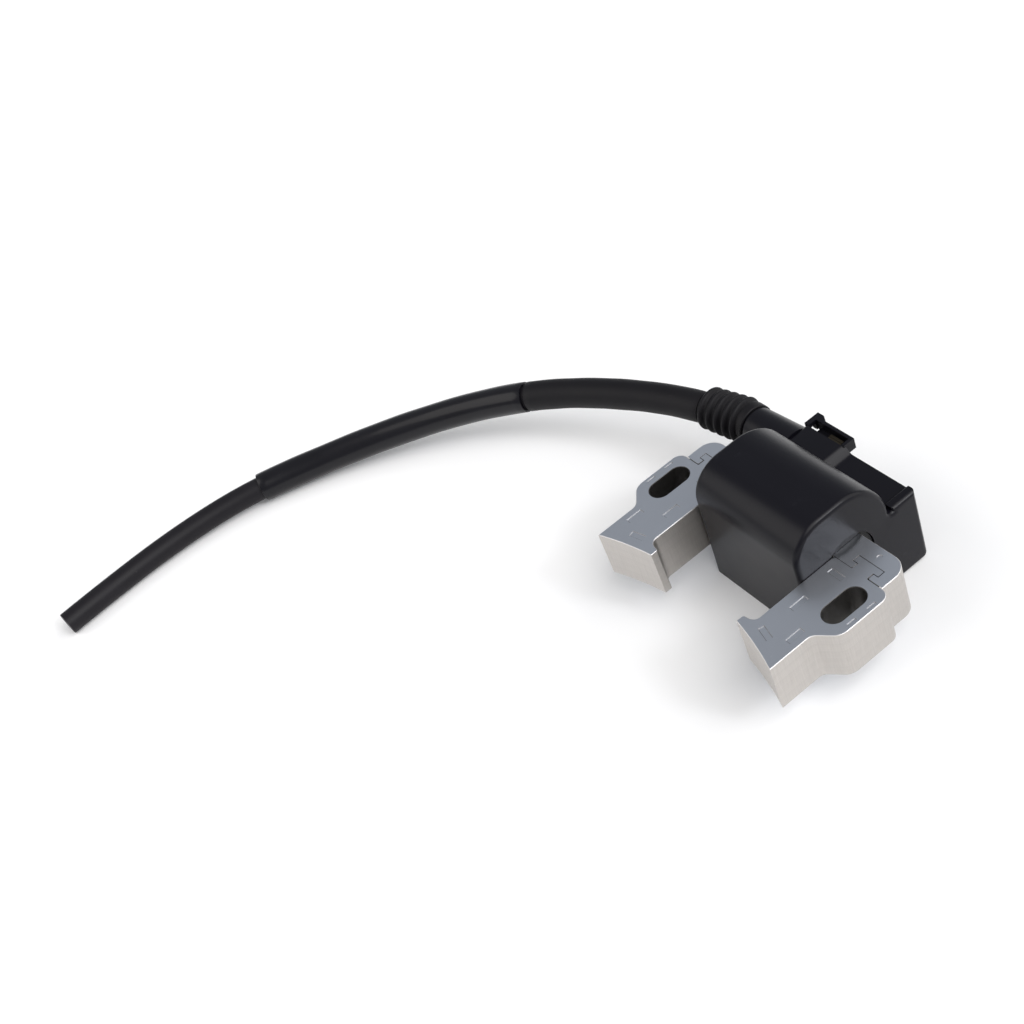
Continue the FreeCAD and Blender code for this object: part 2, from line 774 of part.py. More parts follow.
def soften_rims(body):
    """Round the edges of both end faces that show, and the crease behind the barrel."""
    end = number(case_end)
    front = -number(barrel_front)
    back = number(barrel_back)

    def on_right_end(edge, middle, direction):
        on_plane = all(abs(vertex.X - end) < 1e-3 for vertex in edge.Vertexes)
        return on_plane and middle.z > 0.5 and abs(direction.x) < 0.01

    def on_left_barrel(edge, middle, direction):
        on_plane = middle.x < -end + number(case_draft) + 0.1 and abs(direction.x) < 0.3
        rises = middle.z > number(plateau_top) or middle.y < front + 0.1
        return on_plane and middle.z > 2 and middle.y < back + 0.1 and rises

    soften(body, "Fillet", along_x_at([(barrel_back, box_height)]), crease_round)
    soften(body, "Fillet", on_right_end, case_rim)
    soften(body, "Fillet", on_left_barrel, case_rim)


def add_shroud(body):
    """The open-ended connector shroud with a window in its left wall and a half floor."""
    left = -case_end + 1
    right = left + shroud_length
    back = box_back + shroud_depth
    bulge_end = left + 2.4
    bulge_foot = bulge_end + 2
    outer = sketch_on(body, "XY_Plane", plateau_top - shroud_drop)
    draw_polygon(outer, [
        (left, box_back - 0.5), (right, box_back - 0.5), (right, back), (bulge_foot, back),
        (bulge_end, shroud_back), (left, shroud_back)])
    pad(body, outer, shroud_drop)
    soften(body, "Fillet", upright_at([(bulge_foot, back), (bulge_end, shroud_back)]), 0.9)
    inner = sketch_on(body, "XY_Plane", plateau_top)
    draw_box(inner, left + shroud_wall * 1.6, box_back - 0.7, right - shroud_wall, back - shroud_wall)
    pocket(body, inner, shroud_drop + 0.1)
    floor = sketch_on(body, "XY_Plane", plateau_top - shroud_drop)
    draw_box(floor, left + 2.9, box_back - 0.7, right - 0.1, back - 0.1)
    pad(body, floor, 0.9)
    window = sketch_on(body, "YZ_Plane", left - 0.5)
    draw_box(window, box_back + 0.2, plateau_top - shroud_drop - 0.1, box_back + 1.8, plateau_top - 1.4)
    pocket(body, window, 3.0, back=True)


def add_tower(body):
    """The round boss that the ignition lead comes out of."""
    boss = sketch_on(body, "YZ_Plane", -tower_mouth)
    draw_circle(boss, tower_back, tower_height, tower_radius)
    tower = pad(body, boss, tower_length + case_draft - tower_sink)
    bind(tower, TaperAngle=tower_taper)
    DOC.recompute()
    mouth = number(tower_mouth)

    def at_mouth(edge, middle, direction):
        return abs(middle.x + mouth) < 0.01

    soften(body, "Fillet", at_mouth, tower_mouth_round)


def cavity_outline(gap, floor):
    """The barrel cavity seen along X, with its two round top corners in short facets."""
    front = -barrel_front + case_wall + gap
    back = barrel_back - case_wall - gap
    corners = [(front, floor), (back, floor)]
    rounds = [
        (barrel_back - barrel_rear_round, barrel_rear_round, 0),
        (-barrel_front + barrel_front_round, barrel_front_round, 90),
    ]
    for centre, outer_round, first_angle in rounds:
        reach = outer_round - case_wall - gap
        for step in range(5):
            angle = math.radians(first_angle + 22.5 * step)
            across = centre + reach * math.cos(angle)
            corners.append((across, barrel_height - outer_round + reach * math.sin(angle)))
    return corners


def hollow_case(body):
    """Cavity, core windows, tower bore and the passage for the terminal."""
    cavity = sketch_on(body, "YZ_Plane", cavity_start)
    draw_polygon(cavity, cavity_outline(0.0, -1.0))
    pocket(body, cavity, cavity_length, back=True)
    chamber = sketch_on(body, "YZ_Plane", cavity_start)
    draw_box(chamber, box_inner - 1, -1.0, box_back - case_wall, box_height - case_wall)
    pocket(body, chamber, cavity_length, back=True)
    cut_windows(body)
    bore = sketch_on(body, "YZ_Plane", -tower_mouth - 1)
    draw_circle(bore, tower_back, tower_height, tower_bore)
    pocket(body, bore, tower_mouth + cavity_start + 1.5, back=True)
    passage = sketch_on(body, "YZ_Plane", blade_x - blade_width / 2 - blade_gap)
    foot = blade_foot - blade_gap
    top = blade_foot + blade_thick + blade_gap
    tail = tail_front - blade_gap
    draw_polygon(passage, [
        (tail, foot - 3), (tail_front + blade_thick + blade_gap, foot - 3),
        (tail_front + blade_thick + blade_gap, foot), (box_back - 0.5, foot),
        (box_back - 0.5, top), (tail, top)])
    pocket(body, passage, blade_width + blade_gap * 2, back=True)


def cut_windows(body):
    """Round-ended windows in both ends, for the core bar and its bobbin."""
    half = window_width / 2
    run = (window_height - window_width) / 2
    slab = sketch_on(body, "YZ_Plane")
    draw_box(slab, bar_middle - half, stack_middle - run, bar_middle + half, stack_middle + run)
    pocket(body, slab)
    for way in (-1, 1):
        ends = sketch_on(body, "YZ_Plane")
        draw_circle(ends, bar_middle, stack_middle + run * way, half)
        pocket(body, ends)


def make_resin():
    """Potting that fills the case round the windings and behind the module."""
    body = new_body("potting_resin")
    start = cavity_start + fill_gap
    run = cavity_length - fill_gap * 2
    block = sketch_on(body, "YZ_Plane", start)
    draw_polygon(block, cavity_outline(fill_gap, resin_recess))
    pad(body, block, run)
    chamber = sketch_on(body, "YZ_Plane", start)
    draw_box(
        chamber, box_inner - 1, resin_recess, box_back - case_wall - fill_gap,
        box_height - case_wall - fill_gap)
    pad(body, chamber, run)
    reach = pack_clear + fill_gap
    hollow = ring_profile(body, start - 1, bar_width / 2 + reach, stack_thick / 2 + reach)
    pocket(body, hollow, run + 2, back=True)
    module = sketch_on(body, "YZ_Plane", start - 1)
    front = bar_middle + bar_width / 2 + pack_clear - 0.5
    draw_box(module, front, board_base - 1, box_back + 1, board_base + board_height + 3.5)
    pocket(body, module, run + 2, back=True)
    return body


# ---------------------------------------------------------------------------------------------
# Module, terminals and hook-up wires


def box_body(name, low, high):
    """A plain block between two corners."""
    body = new_body(name)
    sketch = sketch_on(body, "XY_Plane", low[2])
    draw_box(sketch, low[0], low[1], high[0], high[1])
    pad(body, sketch, high[2] - low[2])
    return body


def rod_body(name, plane, start, across, up, radius, length):
    """A round rod square to one origin plane."""
    body = new_body(name)
    sketch = sketch_on(body, plane, start)
    draw_circle(sketch, across, up, radius)
    pad(body, sketch, length)
    return body


def make_circuit_board():
    """The module's board, standing across the box."""
    half = board_length / 2
    low = (-half, board_back, board_base)
    return box_body("circuit_board", low, (half, board_back + board_thick, board_base + board_height))


def make_power_transistor():
    """Moulded block with its metal tab, flat on the board's front."""
    left = -transistor_start
    right = transistor_width - transistor_start
    base = board_base + transistor_base
    top = base + transistor_height
    body = box_body(
        "power_transistor", (left, board_back - transistor_depth, base), (right, board_back, top))
    tab = sketch_on(body, "XY_Plane", top - tab_lap)
    draw_box(tab, left, board_back - tab_thick, right, board_back)
    pad(body, tab, tab_height)
    hole = sketch_on(body, "XZ_Plane", -board_back)
    draw_circle(hole, left + transistor_width / 2, board_base + tab_hole_rise, tab_hole_radius)
    pocket(body, hole)
    return body


def make_drive_transistor():
    """Small plastic transistor with a flat face to the board."""
    base = board_base + driver_base
    body = rod_body(
        "drive_transistor", "XY_Plane", base, driver_x, board_back - driver_stand, driver_radius, driver_height)
    flat = sketch_on(body, "XY_Plane", base)
    draw_box(
        flat, driver_x - driver_radius * 2, board_back, driver_x + driver_radius * 2,
        board_back + driver_radius * 2)
    pocket(body, flat, driver_height, back=True)
    return body


def make_storage_capacitor():
    """Film capacitor on the board's front."""
    front = board_back - capacitor_depth
    right = capacitor_start + capacitor_width
    base = board_base + capacitor_base
    body = box_body(
        "storage_capacitor", (capacitor_start, front, base), (right, board_back, base + capacitor_height))
    edges = [(capacitor_start, front), (right, front)]
    soften(body, "Fillet", upright_at(edges), capacitor_round)
    return body


def make_resistors():
    """Film resistors side by side along the board's foot."""
    group = DOC.addObject("Part::Compound", "resistor_group")
    rods = []
    for index in range(resistor_count):
        height = board_base + resistor_base + resistor_row * (index % 2)
        start = resistor_start + resistor_step * (index // 2)
        place = board_back - resistor_stand
        rods.append(rod_body("resistor", "YZ_Plane", start, place, height, resistor_radius, resistor_length))
    group.Links = rods
    return group


def make_diode():
    """Clamp diode beside the resistors."""
    start = resistor_start + resistor_step
    height = board_base + resistor_base + resistor_row
    place = board_back - diode_stand
    return rod_body("clamp_diode", "YZ_Plane", start, place, height, diode_radius, diode_length)


def make_stop_terminal():
    """Blade for the stop-switch wire: a tail behind the board, a foot, then up in the shroud."""
    left = blade_x - blade_width / 2
    right = blade_x + blade_width / 2
    stand = box_back + terminal_stand
    body = box_body(
        "stop_terminal", (left, tail_front, blade_foot),
        (right, stand + blade_thick, blade_foot + blade_thick))
    rise = sketch_on(body, "XY_Plane", blade_foot)
    draw_box(rise, left, stand, right, stand + blade_thick)
    pad(body, rise, plateau_top - blade_foot - blade_drop)
    tail = sketch_on(body, "XY_Plane", blade_foot + blade_thick / 2)
    draw_box(tail, left, tail_front, right, tail_front + blade_thick)
    pad(body, tail, terminal_tail, back=True)
    return body


def make_ground_strap():
    """Strip from the board's end to the back of the core bar, for the engine's earth."""
    left = coil_end + strap_offset
    return box_body(
        "ground_strap", (left, bar_back, stack_middle - strap_width / 2),
        (left + strap_thick, board_back - end_touch, stack_middle + strap_width / 2))


def make_hookup_wires():
    """Two enamelled wires from the primary winding's end to the board."""
    group = DOC.addObject("Part::Compound", "hookup_group")
    start = -board_back + end_touch
    run = board_back - bar_back - hookup_gap
    wires = []
    for height in (stack_middle - hookup_pitch, stack_middle):
        wires.append(rod_body("hookup_wire", "XZ_Plane", start, wire_x, height, hookup_radius, run))
    group.Links = wires
    return group


def make_high_voltage_pin():
    """Spike in the tower that pierces the lead's conductor."""
    tip = tower_mouth - pin_inset
    shoulder = -tip + pin_point_length
    body = rod_body(
        "high_voltage_pin", "YZ_Plane", shoulder, tower_back, tower_height, pin_radius, tip - pin_root)
    point = sketch_on(body, "XY_Plane", tower_height)
    draw_polygon(point, [(-tip, tower_back), (shoulder, tower_back), (shoulder, tower_back + pin_radius)])
    cone = body.newObject("PartDesign::Revolution", "pin_point")
    cone.Profile = point
    cone.ReferenceAxis = (point, ["Edge1"])
    cone.Angle = 360
    DOC.recompute()
    return body


def make_high_voltage_link():
    """Short lead from the end of the secondary winding to the spike."""
    start = -tower_back + link_stand
    run = tower_back - link_stand - (bar_middle + bar_width / 2 + winding_clear + link_gap)
    return rod_body("high_voltage_link", "XZ_Plane", start, wire_x, tower_height, link_radius, run)


# ---------------------------------------------------------------------------------------------
# Ignition lead.  The route starts in the tower's mouth, runs straight through the boot and then
# falls in one long bend to the surface that the coil stands on.

ROUTE = [
    (-35.0, 32.3, 19.9),
    (-54.5, 28.3, 19.9),
    (-76.5, 19.5, 19.5),
    (-101.5, 6.0, 17.5),
    (-123.5, -11.0, 13.5),
    (-142.5, -32.0, 9.0),
    (-157.5, -56.0, 6.0),
    (-168.0, -82.5, 5.2),
    (-172.0, -110.5, 4.2),
    (-171.0, -139.0, 3.8),
    (-169.5, -153.0, 3.8),
]
RUBBER_SLEEVE = (19.0, 80.8)
VINYL_SLEEVE = (82.0, 179.7)


def route_edges(points):
    """Straight runs joined by the largest tangent arcs that they leave room for."""
    places = [FreeCAD.Vector(*point) for point in points]
    edges = []
    here = places[0]
    for before, corner, after in zip(places, places[1:], places[2:]):
        arriving = (corner - before).normalize()
        leaving = (after - corner).normalize()
        turn = arriving.getAngle(leaving)
        reach = 0.45 * min((corner - before).Length, (after - corner).Length)
        radius = reach / math.tan(turn / 2)
        print("bend of %.1f degrees, radius %.0f mm" % (math.degrees(turn), radius))
        start = corner - arriving * reach
        end = corner + leaving * reach
        inward = (leaving - arriving).normalize()
        centre_distance = radius / math.cos(turn / 2)
        middle = corner + inward * (centre_distance - radius)
        edges.append(Part.LineSegment(here, start).toShape())
        edges.append(Part.Arc(start, middle, end).toShape())
        here = end
    edges.append(Part.LineSegment(here, places[-1]).toShape())
    return edges


def stretch_of(edges, start, end):
    """The part of the route between two lengths along it."""
    kept = []
    passed = 0.0
    for edge in edges:
        low = max(start - passed, 0.0)
        high = min(end - passed, edge.Length)
        if high - low > 1e-6:
            first = edge.getParameterByLength(low)
            last = edge.getParameterByLength(high)
            kept.append(edge.Curve.toShape(first, last))
        passed += edge.Length
    return kept


def route_wire(name, start=0.0, end=None):
    """A stretch of the route as a wire object."""
    edges = route_edges(ROUTE)
    total = sum(edge.Length for edge in edges)
    wire = DOC.addObject("Part::Feature", name)
    wire.Shape = Part.Wire(stretch_of(edges, start, total if end is None else end))
    return wire


def sweep_round(name, wire, radius):
    """A round solid along a wire."""
    edge = wire.Shape.Edges[0]
    start = edge.valueAt(edge.FirstParameter)
    section = DOC.addObject("Part::Circle", name + "_section")
    bind(section, Radius=radius)
    turn = FreeCAD.Rotation(FreeCAD.Vector(0, 0, 1), edge.tangentAt(edge.FirstParameter))
    section.Placement = FreeCAD.Placement(start, turn)
    sweep = DOC.addObject("Part::Sweep", name + "_sweep")
    sweep.Sections = [section]
    sweep.Spine = (wire, ["Edge%d" % (index + 1) for index in range(len(wire.Shape.Edges))])
    sweep.Solid = True
    sweep.Transition = "Right corner"
    DOC.recompute()
    measured = sweep.Shape.Volume
    expected = math.pi * number(radius) ** 2 * wire.Shape.Length
    print("%s: volume %.1f, section times length %.1f" % (name, measured, expected))
    if abs(measured / expected - 1) > 0.01:
        raise ValueError("%s isn't a plain tube" % name)
    return sweep


def make_tube(name, stretch, outer, inner):
    """A round tube along a stretch of the route."""
    wire = route_wire(name + "_route", *stretch)
    shell = sweep_round(name, wire, outer)
    bore = sweep_round(name + "_bore", wire, inner)
    tube = DOC.addObject("Part::Cut", name + "_tube")
    tube.Base = shell
    tube.Tool = bore
    DOC.recompute()
    return tube


def make_lead_insulation():
    """The lead's insulation, from the tower to its free end."""
    bore = conductor_diameter / 2 + conductor_gap
    return make_tube("lead_insulation", (), lead_diameter / 2, bore)


def make_lead_conductor():
    """The stranded conductor in the lead."""
    return sweep_round("lead_conductor", route_wire("conductor_route"), conductor_diameter / 2)


def make_rubber_sleeve():
    """Rubber sleeve from the boot outwards."""
    inner = lead_diameter / 2 + sleeve_gap
    return make_tube("rubber_sleeve", RUBBER_SLEEVE, inner + rubber_sleeve_wall, inner)


def make_vinyl_sleeve():
    """Vinyl sleeve over the middle of the lead."""
    inner = lead_diameter / 2 + sleeve_gap
    return make_tube("vinyl_sleeve", VINYL_SLEEVE, inner + vinyl_sleeve_wall, inner)


def make_boot():
    """Ribbed strain relief, turned on its own axis and set at the lead's angle to the tower."""
    body = new_body("strain_relief_boot")
    profile = sketch_on(body, "XY_Plane", tower_height)
    turn = FreeCAD.Rotation(FreeCAD.Vector(0, 0, 1), 180 + boot_turn)
    profile.AttachmentOffset = FreeCAD.Placement(FreeCAD.Vector(0, 0, number(tower_height)), turn)
    profile.setExpression("AttachmentOffset.Base.x", (-tower_mouth - boot_stand).text)
    profile.setExpression("AttachmentOffset.Base.y", tower_back.text)
    bore = lead_bore
    corners = [(0.0, bore), (0.0, boot_collar_radius), (boot_collar, boot_collar_radius)]
    for index in range(boot_ribs):
        start = boot_collar + boot_pitch * index
        grown = boot_growth * (boot_ribs - 1 - index)
        floor_start = start + boot_groove_lead
        crest_start = floor_start + boot_groove_floor + boot_wall_slope
        corners.append((floor_start, boot_groove_radius))
        corners.append((floor_start + boot_groove_floor, boot_groove_radius))
        corners.append((crest_start, boot_rib_radius + grown))
        corners.append((start + boot_pitch - boot_wall_slope, boot_rib_radius + grown))
        corners.append((start + boot_pitch, boot_groove_radius + boot_groove_lead))
    end = boot_collar + boot_pitch * boot_ribs
    corners.append((end + 0.01, bore))
    draw_polygon(profile, corners)
    turned = body.newObject("PartDesign::Revolution", "boot_turning")
    turned.Profile = profile
    turned.ReferenceAxis = (profile, ["H_Axis"])
    turned.Angle = 360
    DOC.recompute()
    seat = sketch_on(body, "YZ_Plane", -tower_mouth - boot_seat_gap)
    draw_circle(seat, tower_back, tower_height, boot_collar_radius - boot_seat_step)
    draw_circle(seat, tower_back, tower_height, bore + boot_seat_step)
    pad(body, seat, boot_seat_length, back=True)
    return body


# ---------------------------------------------------------------------------------------------

MAKERS = {
    "left_leg": lambda: make_leg(-1),
    "right_leg": lambda: make_leg(1),
    "core_bar": make_core_bar,
    "coil_case": make_case,
    "potting_resin": make_resin,
    "primary_bobbin": make_primary_bobbin,
    "primary_winding": make_primary_winding,
    "primary_tape": make_primary_tape,
    "secondary_bobbin": make_secondary_bobbin,
    "secondary_winding": make_secondary_winding,
    "circuit_board": make_circuit_board,
    "power_transistor": make_power_transistor,
    "drive_transistor": make_drive_transistor,
    "storage_capacitor": make_storage_capacitor,
    "resistors": make_resistors,
    "clamp_diode": make_diode,
    "stop_terminal": make_stop_terminal,
    "ground_strap": make_ground_strap,
    "hookup_wires": make_hookup_wires,
    "high_voltage_pin": make_high_voltage_pin,
    "high_voltage_link": make_high_voltage_link,
    "strain_relief_boot": make_boot,
    "lead_insulation": make_lead_insulation,
    "lead_conductor": make_lead_conductor,
    "rubber_sleeve": make_rubber_sleeve,
    "vinyl_sleeve": make_vinyl_sleeve,
}


def check_document():
    """Stop if anything in the document failed to compute."""
    for item in DOC.Objects:
        if "Invalid" in item.State or "Error" in item.State:
            raise ValueError("%s failed: %s" % (item.Label, item.State))
    for subpart in SUBPARTS:
        if subpart.Shape.isNull() or not subpart.Shape.isValid():
            raise ValueError("%s has no valid shape" % subpart.Label)


for label, maker in MAKERS.items():
    settle(label, maker())
DOC.recompute()
check_document()
os.makedirs("parts", exist_ok=True)
for subpart in SUBPARTS:
    subpart.Shape.exportStep("parts/%s.step" % subpart.Label)
    print(subpart.Label, "solids", len(subpart.Shape.Solids), "volume %.0f" % subpart.Shape.Volume)
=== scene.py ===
"""Ignition coil: the finish of each piece, the lead with its boot and sleeves, and the studio.

Everything is in metres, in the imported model's own frame: +X along the core bar, +Y from the
pole tips to the module box, +Z up from the case's base.
"""
import math

import bmesh
import bpy
from bpy.props import FloatProperty, FloatVectorProperty, IntProperty, PointerProperty
from mathutils import Matrix, Quaternion, Vector


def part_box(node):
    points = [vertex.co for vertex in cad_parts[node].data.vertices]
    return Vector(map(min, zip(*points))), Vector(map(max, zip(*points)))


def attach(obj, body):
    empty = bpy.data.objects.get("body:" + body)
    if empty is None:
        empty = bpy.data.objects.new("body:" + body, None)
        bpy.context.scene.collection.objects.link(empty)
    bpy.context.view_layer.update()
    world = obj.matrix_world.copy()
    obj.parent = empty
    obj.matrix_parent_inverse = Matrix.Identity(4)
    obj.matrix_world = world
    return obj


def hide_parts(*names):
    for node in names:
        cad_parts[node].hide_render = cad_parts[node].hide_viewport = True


bl_info = {
    "name": "Ignition Coil Dresser",
    "version": (1, 0, 0),
    "blender": (4, 5, 0),
    "location": "View3D > Sidebar > Ignition Coil",
    "description": "Dresses a packed ignition coil with finishes, lead, boot and studio",
    "category": "Object",
}

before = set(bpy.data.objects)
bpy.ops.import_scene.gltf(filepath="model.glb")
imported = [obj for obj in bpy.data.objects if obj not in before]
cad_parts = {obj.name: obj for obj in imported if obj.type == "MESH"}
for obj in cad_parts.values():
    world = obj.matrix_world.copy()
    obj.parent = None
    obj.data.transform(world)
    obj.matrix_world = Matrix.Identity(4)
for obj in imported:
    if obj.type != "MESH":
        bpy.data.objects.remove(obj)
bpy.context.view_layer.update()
MM = 0.001

# The lead's route, as chosen for its solid: out of the tower, through the boot and down.
ROUTE_MM = [
    (-35.0, 32.3, 19.9),
    (-54.5, 28.3, 19.9),
    (-76.5, 19.5, 19.5),
    (-101.5, 6.0, 17.5),
    (-123.5, -11.0, 13.5),
    (-142.5, -32.0, 9.0),
    (-157.5, -56.0, 6.0),
    (-168.0, -82.5, 5.2),
    (-172.0, -110.5, 4.2),
    (-171.0, -139.0, 3.8),
    (-169.5, -153.0, 3.8),
]
# The line of the bolt slots, from which the route's Y is measured, and where the slots lie on X.
SLOT_LINE_MM = 8.55
SLOT_X = 34.0 * MM
# Half of a bolt slot's width and length, with a little over, so that its walls are inside.
SLOT_HALF_MM = (3.36, 6.56)
# The middle of a T joint, out from the centre and along Y, and half of the area its seam takes.
SEAM_MIDDLE_MM = (28.6, 2.7)
SEAM_HALF_MM = (7.8, 2.2)
# The middle of the tower's mouth, along the route's Y and up.
MOUTH_LINE_MM = 31.9
MOUTH_HEIGHT_MM = 19.9
# The covering of the lead: how far its pattern runs for one turn round it.
AROUND = 0.03
ROUTE = [Vector((x, y - SLOT_LINE_MM, z)) * MM for x, y, z in ROUTE_MM]


# ---------------------------------------------------------------------------------------------
# Sizes and colours a user would change


def length(name, default_mm, description):
    """A length property, kept in metres."""
    return FloatProperty(
        name=name, description=description, default=default_mm * MM, min=0.0, unit="LENGTH",
        precision=5)


def colour(name, default, description):
    """A colour property."""
    return FloatVectorProperty(
        name=name, description=description, default=default, size=3, min=0.0, max=1.0, subtype="COLOR")


class LeadSizes(bpy.types.PropertyGroup):
    lead_diameter: length("Lead diameter", 7.6, "Outside diameter of the bare lead")
    core_diameter: length("Core diameter", 1.8, "Diameter of the conductor at the cut end")
    rubber_radius: length("Rubber sleeve radius", 4.6, "Outside radius of the rubber sleeve")
    rubber_start: length("Rubber sleeve start", 19.0, "Where the rubber sleeve starts along the lead")
    rubber_end: length("Rubber sleeve end", 80.8, "Where the rubber sleeve ends along the lead")
    vinyl_radius: length("Vinyl sleeve radius", 4.75, "Outside radius of the vinyl sleeve")
    vinyl_start: length("Vinyl sleeve start", 82.0, "Where the vinyl sleeve starts along the lead")
    vinyl_end: length("Vinyl sleeve end", 179.7, "Where the vinyl sleeve ends along the lead")


class BootSizes(bpy.types.PropertyGroup):
    ribs: IntProperty(name="Ribs", description="Number of ribs on the boot", default=5, min=1)
    pitch: length("Rib pitch", 2.95, "Distance from rib to rib")
    rib_radius: length("Rib radius", 6.3, "Outside radius of the rib at the lead's end")
    growth: length("Rib growth", 0.12, "How much wider each rib is than the next one out")
    groove_radius: length("Groove radius", 5.1, "Radius at the foot of the grooves")
    stand: length("Stand", 1.3, "Gap on the axis between the tower's mouth and the boot")
    seat_gap: length("Seat gap", 0.05, "Gap between the tower's mouth and the boot's seat")
    seat_length: length("Seat length", 2.6, "Length of the seat against the tower's mouth")
    collar_radius: length("Collar radius", 5.9, "Radius of the collar against the tower")
    collar_length: length("Collar length", 1.6, "Length of the collar")
    bore_radius: length("Bore radius", 4.3, "Radius of the hole for the lead")
    turn: FloatProperty(
        name="Turn", description="Angle between the boot and the tower", default=math.radians(11.6),
        subtype="ANGLE")


class Finishes(bpy.types.PropertyGroup):
    steel: colour("Stack steel", (0.66, 0.69, 0.75), "Faces of the stamped sheets")
    steel_edge: colour("Stack edges", (0.62, 0.59, 0.56), "Cut edges of the stamped sheets")
    case: colour("Case", (0.0040, 0.0038, 0.0062), "Moulded case")
    rubber: colour("Rubber", (0.0052, 0.0048, 0.0062), "Boot and rubber sleeve")
    lead: colour("Lead", (0.0085, 0.0076, 0.0098), "Bare lead")
    vinyl: colour("Vinyl", (0.0045, 0.0042, 0.0062), "Vinyl sleeve")


class StudioSettings(bpy.types.PropertyGroup):
    lens: FloatProperty(name="Lens", description="Focal length in millimetres", default=53.87)
    roll: FloatProperty(
        name="Roll", description="Camera roll about its view", default=math.radians(25.6), subtype="ANGLE")
    sky: FloatProperty(name="Sky", description="Strength of the surrounding light", default=0.38)


# ---------------------------------------------------------------------------------------------
# Shader node groups


def new_group(name, inputs, outputs):
    """An empty shader node group with its sockets, and its input and output nodes."""
    tree = bpy.data.node_groups.new(name, "ShaderNodeTree")
    for socket, kind, default in inputs:
        made = tree.interface.new_socket(socket, in_out="INPUT", socket_type="NodeSocket" + kind)
        if default is not None:
            made.default_value = default
    for socket, kind in outputs:
        tree.interface.new_socket(socket, in_out="OUTPUT", socket_type="NodeSocket" + kind)
    return tree, tree.nodes.new("NodeGroupInput"), tree.nodes.new("NodeGroupOutput")


def add(tree, kind, links=(), **values):
    """A node with its properties set and its inputs linked or filled, by name or number."""
    node = tree.nodes.new("ShaderNode" + kind)
    for name, value in values.items():
        setattr(node, name, value)
    for socket, source in dict(links).items():
        if isinstance(source, bpy.types.NodeSocket):
            tree.links.new(source, node.inputs[socket])
        else:
            node.inputs[socket].default_value = source
    return node


def math_node(tree, operation, *sources, clamp=False):
    """One Math node over sockets or numbers."""
    node = add(tree, "Math", dict(enumerate(sources)), operation=operation, use_clamp=clamp)
    return node.outputs[0]


def ramp(tree, source, low, high):
    """0 below low, 1 above high, smooth between."""
    node = add(
        tree, "MapRange", {"Value": source, "From Min": low, "From Max": high},
        interpolation_type="SMOOTHSTEP")
    return node.outputs["Result"]


def mix_colour(tree, factor, one, two):
    """Colour one where factor is 0 and two where it is 1."""
    node = add(tree, "Mix", {"Factor": factor}, data_type="RGBA")
    for socket, source in ((node.inputs[6], one), (node.inputs[7], two)):
        if isinstance(source, bpy.types.NodeSocket):
            tree.links.new(source, socket)
        else:
            socket.default_value = (*source[:3], 1.0)
    return node.outputs[2]


def grain_group():
    """Fine moulded or rolled grain, with a slow variation under it."""
    tree, ins, outs = new_group(
        "Surface grain",
        [("Vector", "Vector", None), ("Fine scale", "Float", 900.0), ("Broad scale", "Float", 40.0)],
        [("Fine", "Float"), ("Broad", "Float")])
    vector = ins.outputs["Vector"]
    fine = add(tree, "TexNoise", {"Vector": vector, "Scale": ins.outputs["Fine scale"], "Detail": 3.0})
    broad = add(tree, "TexNoise", {"Vector": vector, "Scale": ins.outputs["Broad scale"], "Detail": 4.0})
    tree.links.new(fine.outputs["Fac"], outs.inputs["Fine"])
    tree.links.new(broad.outputs["Fac"], outs.inputs["Broad"])
    return tree


def scuff_group():
    """Short pale scuffs and specks where the surface has been handled."""
    tree, ins, outs = new_group(
        "Scuffs",
        [("Vector", "Vector", None), ("Scale", "Float", 120.0), ("Stretch", "Vector", (1.0, 1.0, 1.0)),
         ("Amount", "Float", 0.5)],
        [("Mask", "Float")])
    stretched = add(
        tree, "VectorMath", {0: ins.outputs["Vector"], 1: ins.outputs["Stretch"]}, operation="MULTIPLY")
    marks = add(
        tree, "TexNoise", {"Vector": stretched.outputs[0], "Scale": ins.outputs["Scale"], "Detail": 6.0,
                           "Roughness": 0.7})
    patches = add(tree, "TexNoise", {"Vector": ins.outputs["Vector"], "Scale": 45.0, "Detail": 2.0})
    sharp = ramp(tree, marks.outputs["Fac"], 0.60, 0.78)
    where = ramp(tree, patches.outputs["Fac"], 0.48, 0.66)
    both = math_node(tree, "MULTIPLY", sharp, where)
    tree.links.new(math_node(tree, "MULTIPLY", both, ins.outputs["Amount"]), outs.inputs["Mask"])
    return tree


def facing_group():
    """Which part of a stamped stack this is: its flat faces, its cut edge or the burr between, with masks
    for the painted highlight on the burr and the painted shade on the leaning walls of dents.
    """
    tree, ins, outs = new_group(
        "Stack facing", [("Normal", "Vector", None)],
        [("Flat", "Float"), ("Burr highlight", "Float"), ("Dent shade", "Float")])
    parts = add(tree, "SeparateXYZ", {"Vector": ins.outputs["Normal"]})
    upright = math_node(tree, "ABSOLUTE", parts.outputs["Z"])
    flat = ramp(tree, upright, 0.93, 0.98)
    burr_highlight = ramp(tree, upright, 0.66, 0.69)
    leaning = ramp(tree, upright, 0.3, 0.6)
    tree.links.new(flat, outs.inputs["Flat"])
    tree.links.new(math_node(tree, "SUBTRACT", burr_highlight, flat, clamp=True), outs.inputs["Burr highlight"])
    tree.links.new(math_node(tree, "SUBTRACT", leaning, burr_highlight, clamp=True), outs.inputs["Dent shade"])
    return tree


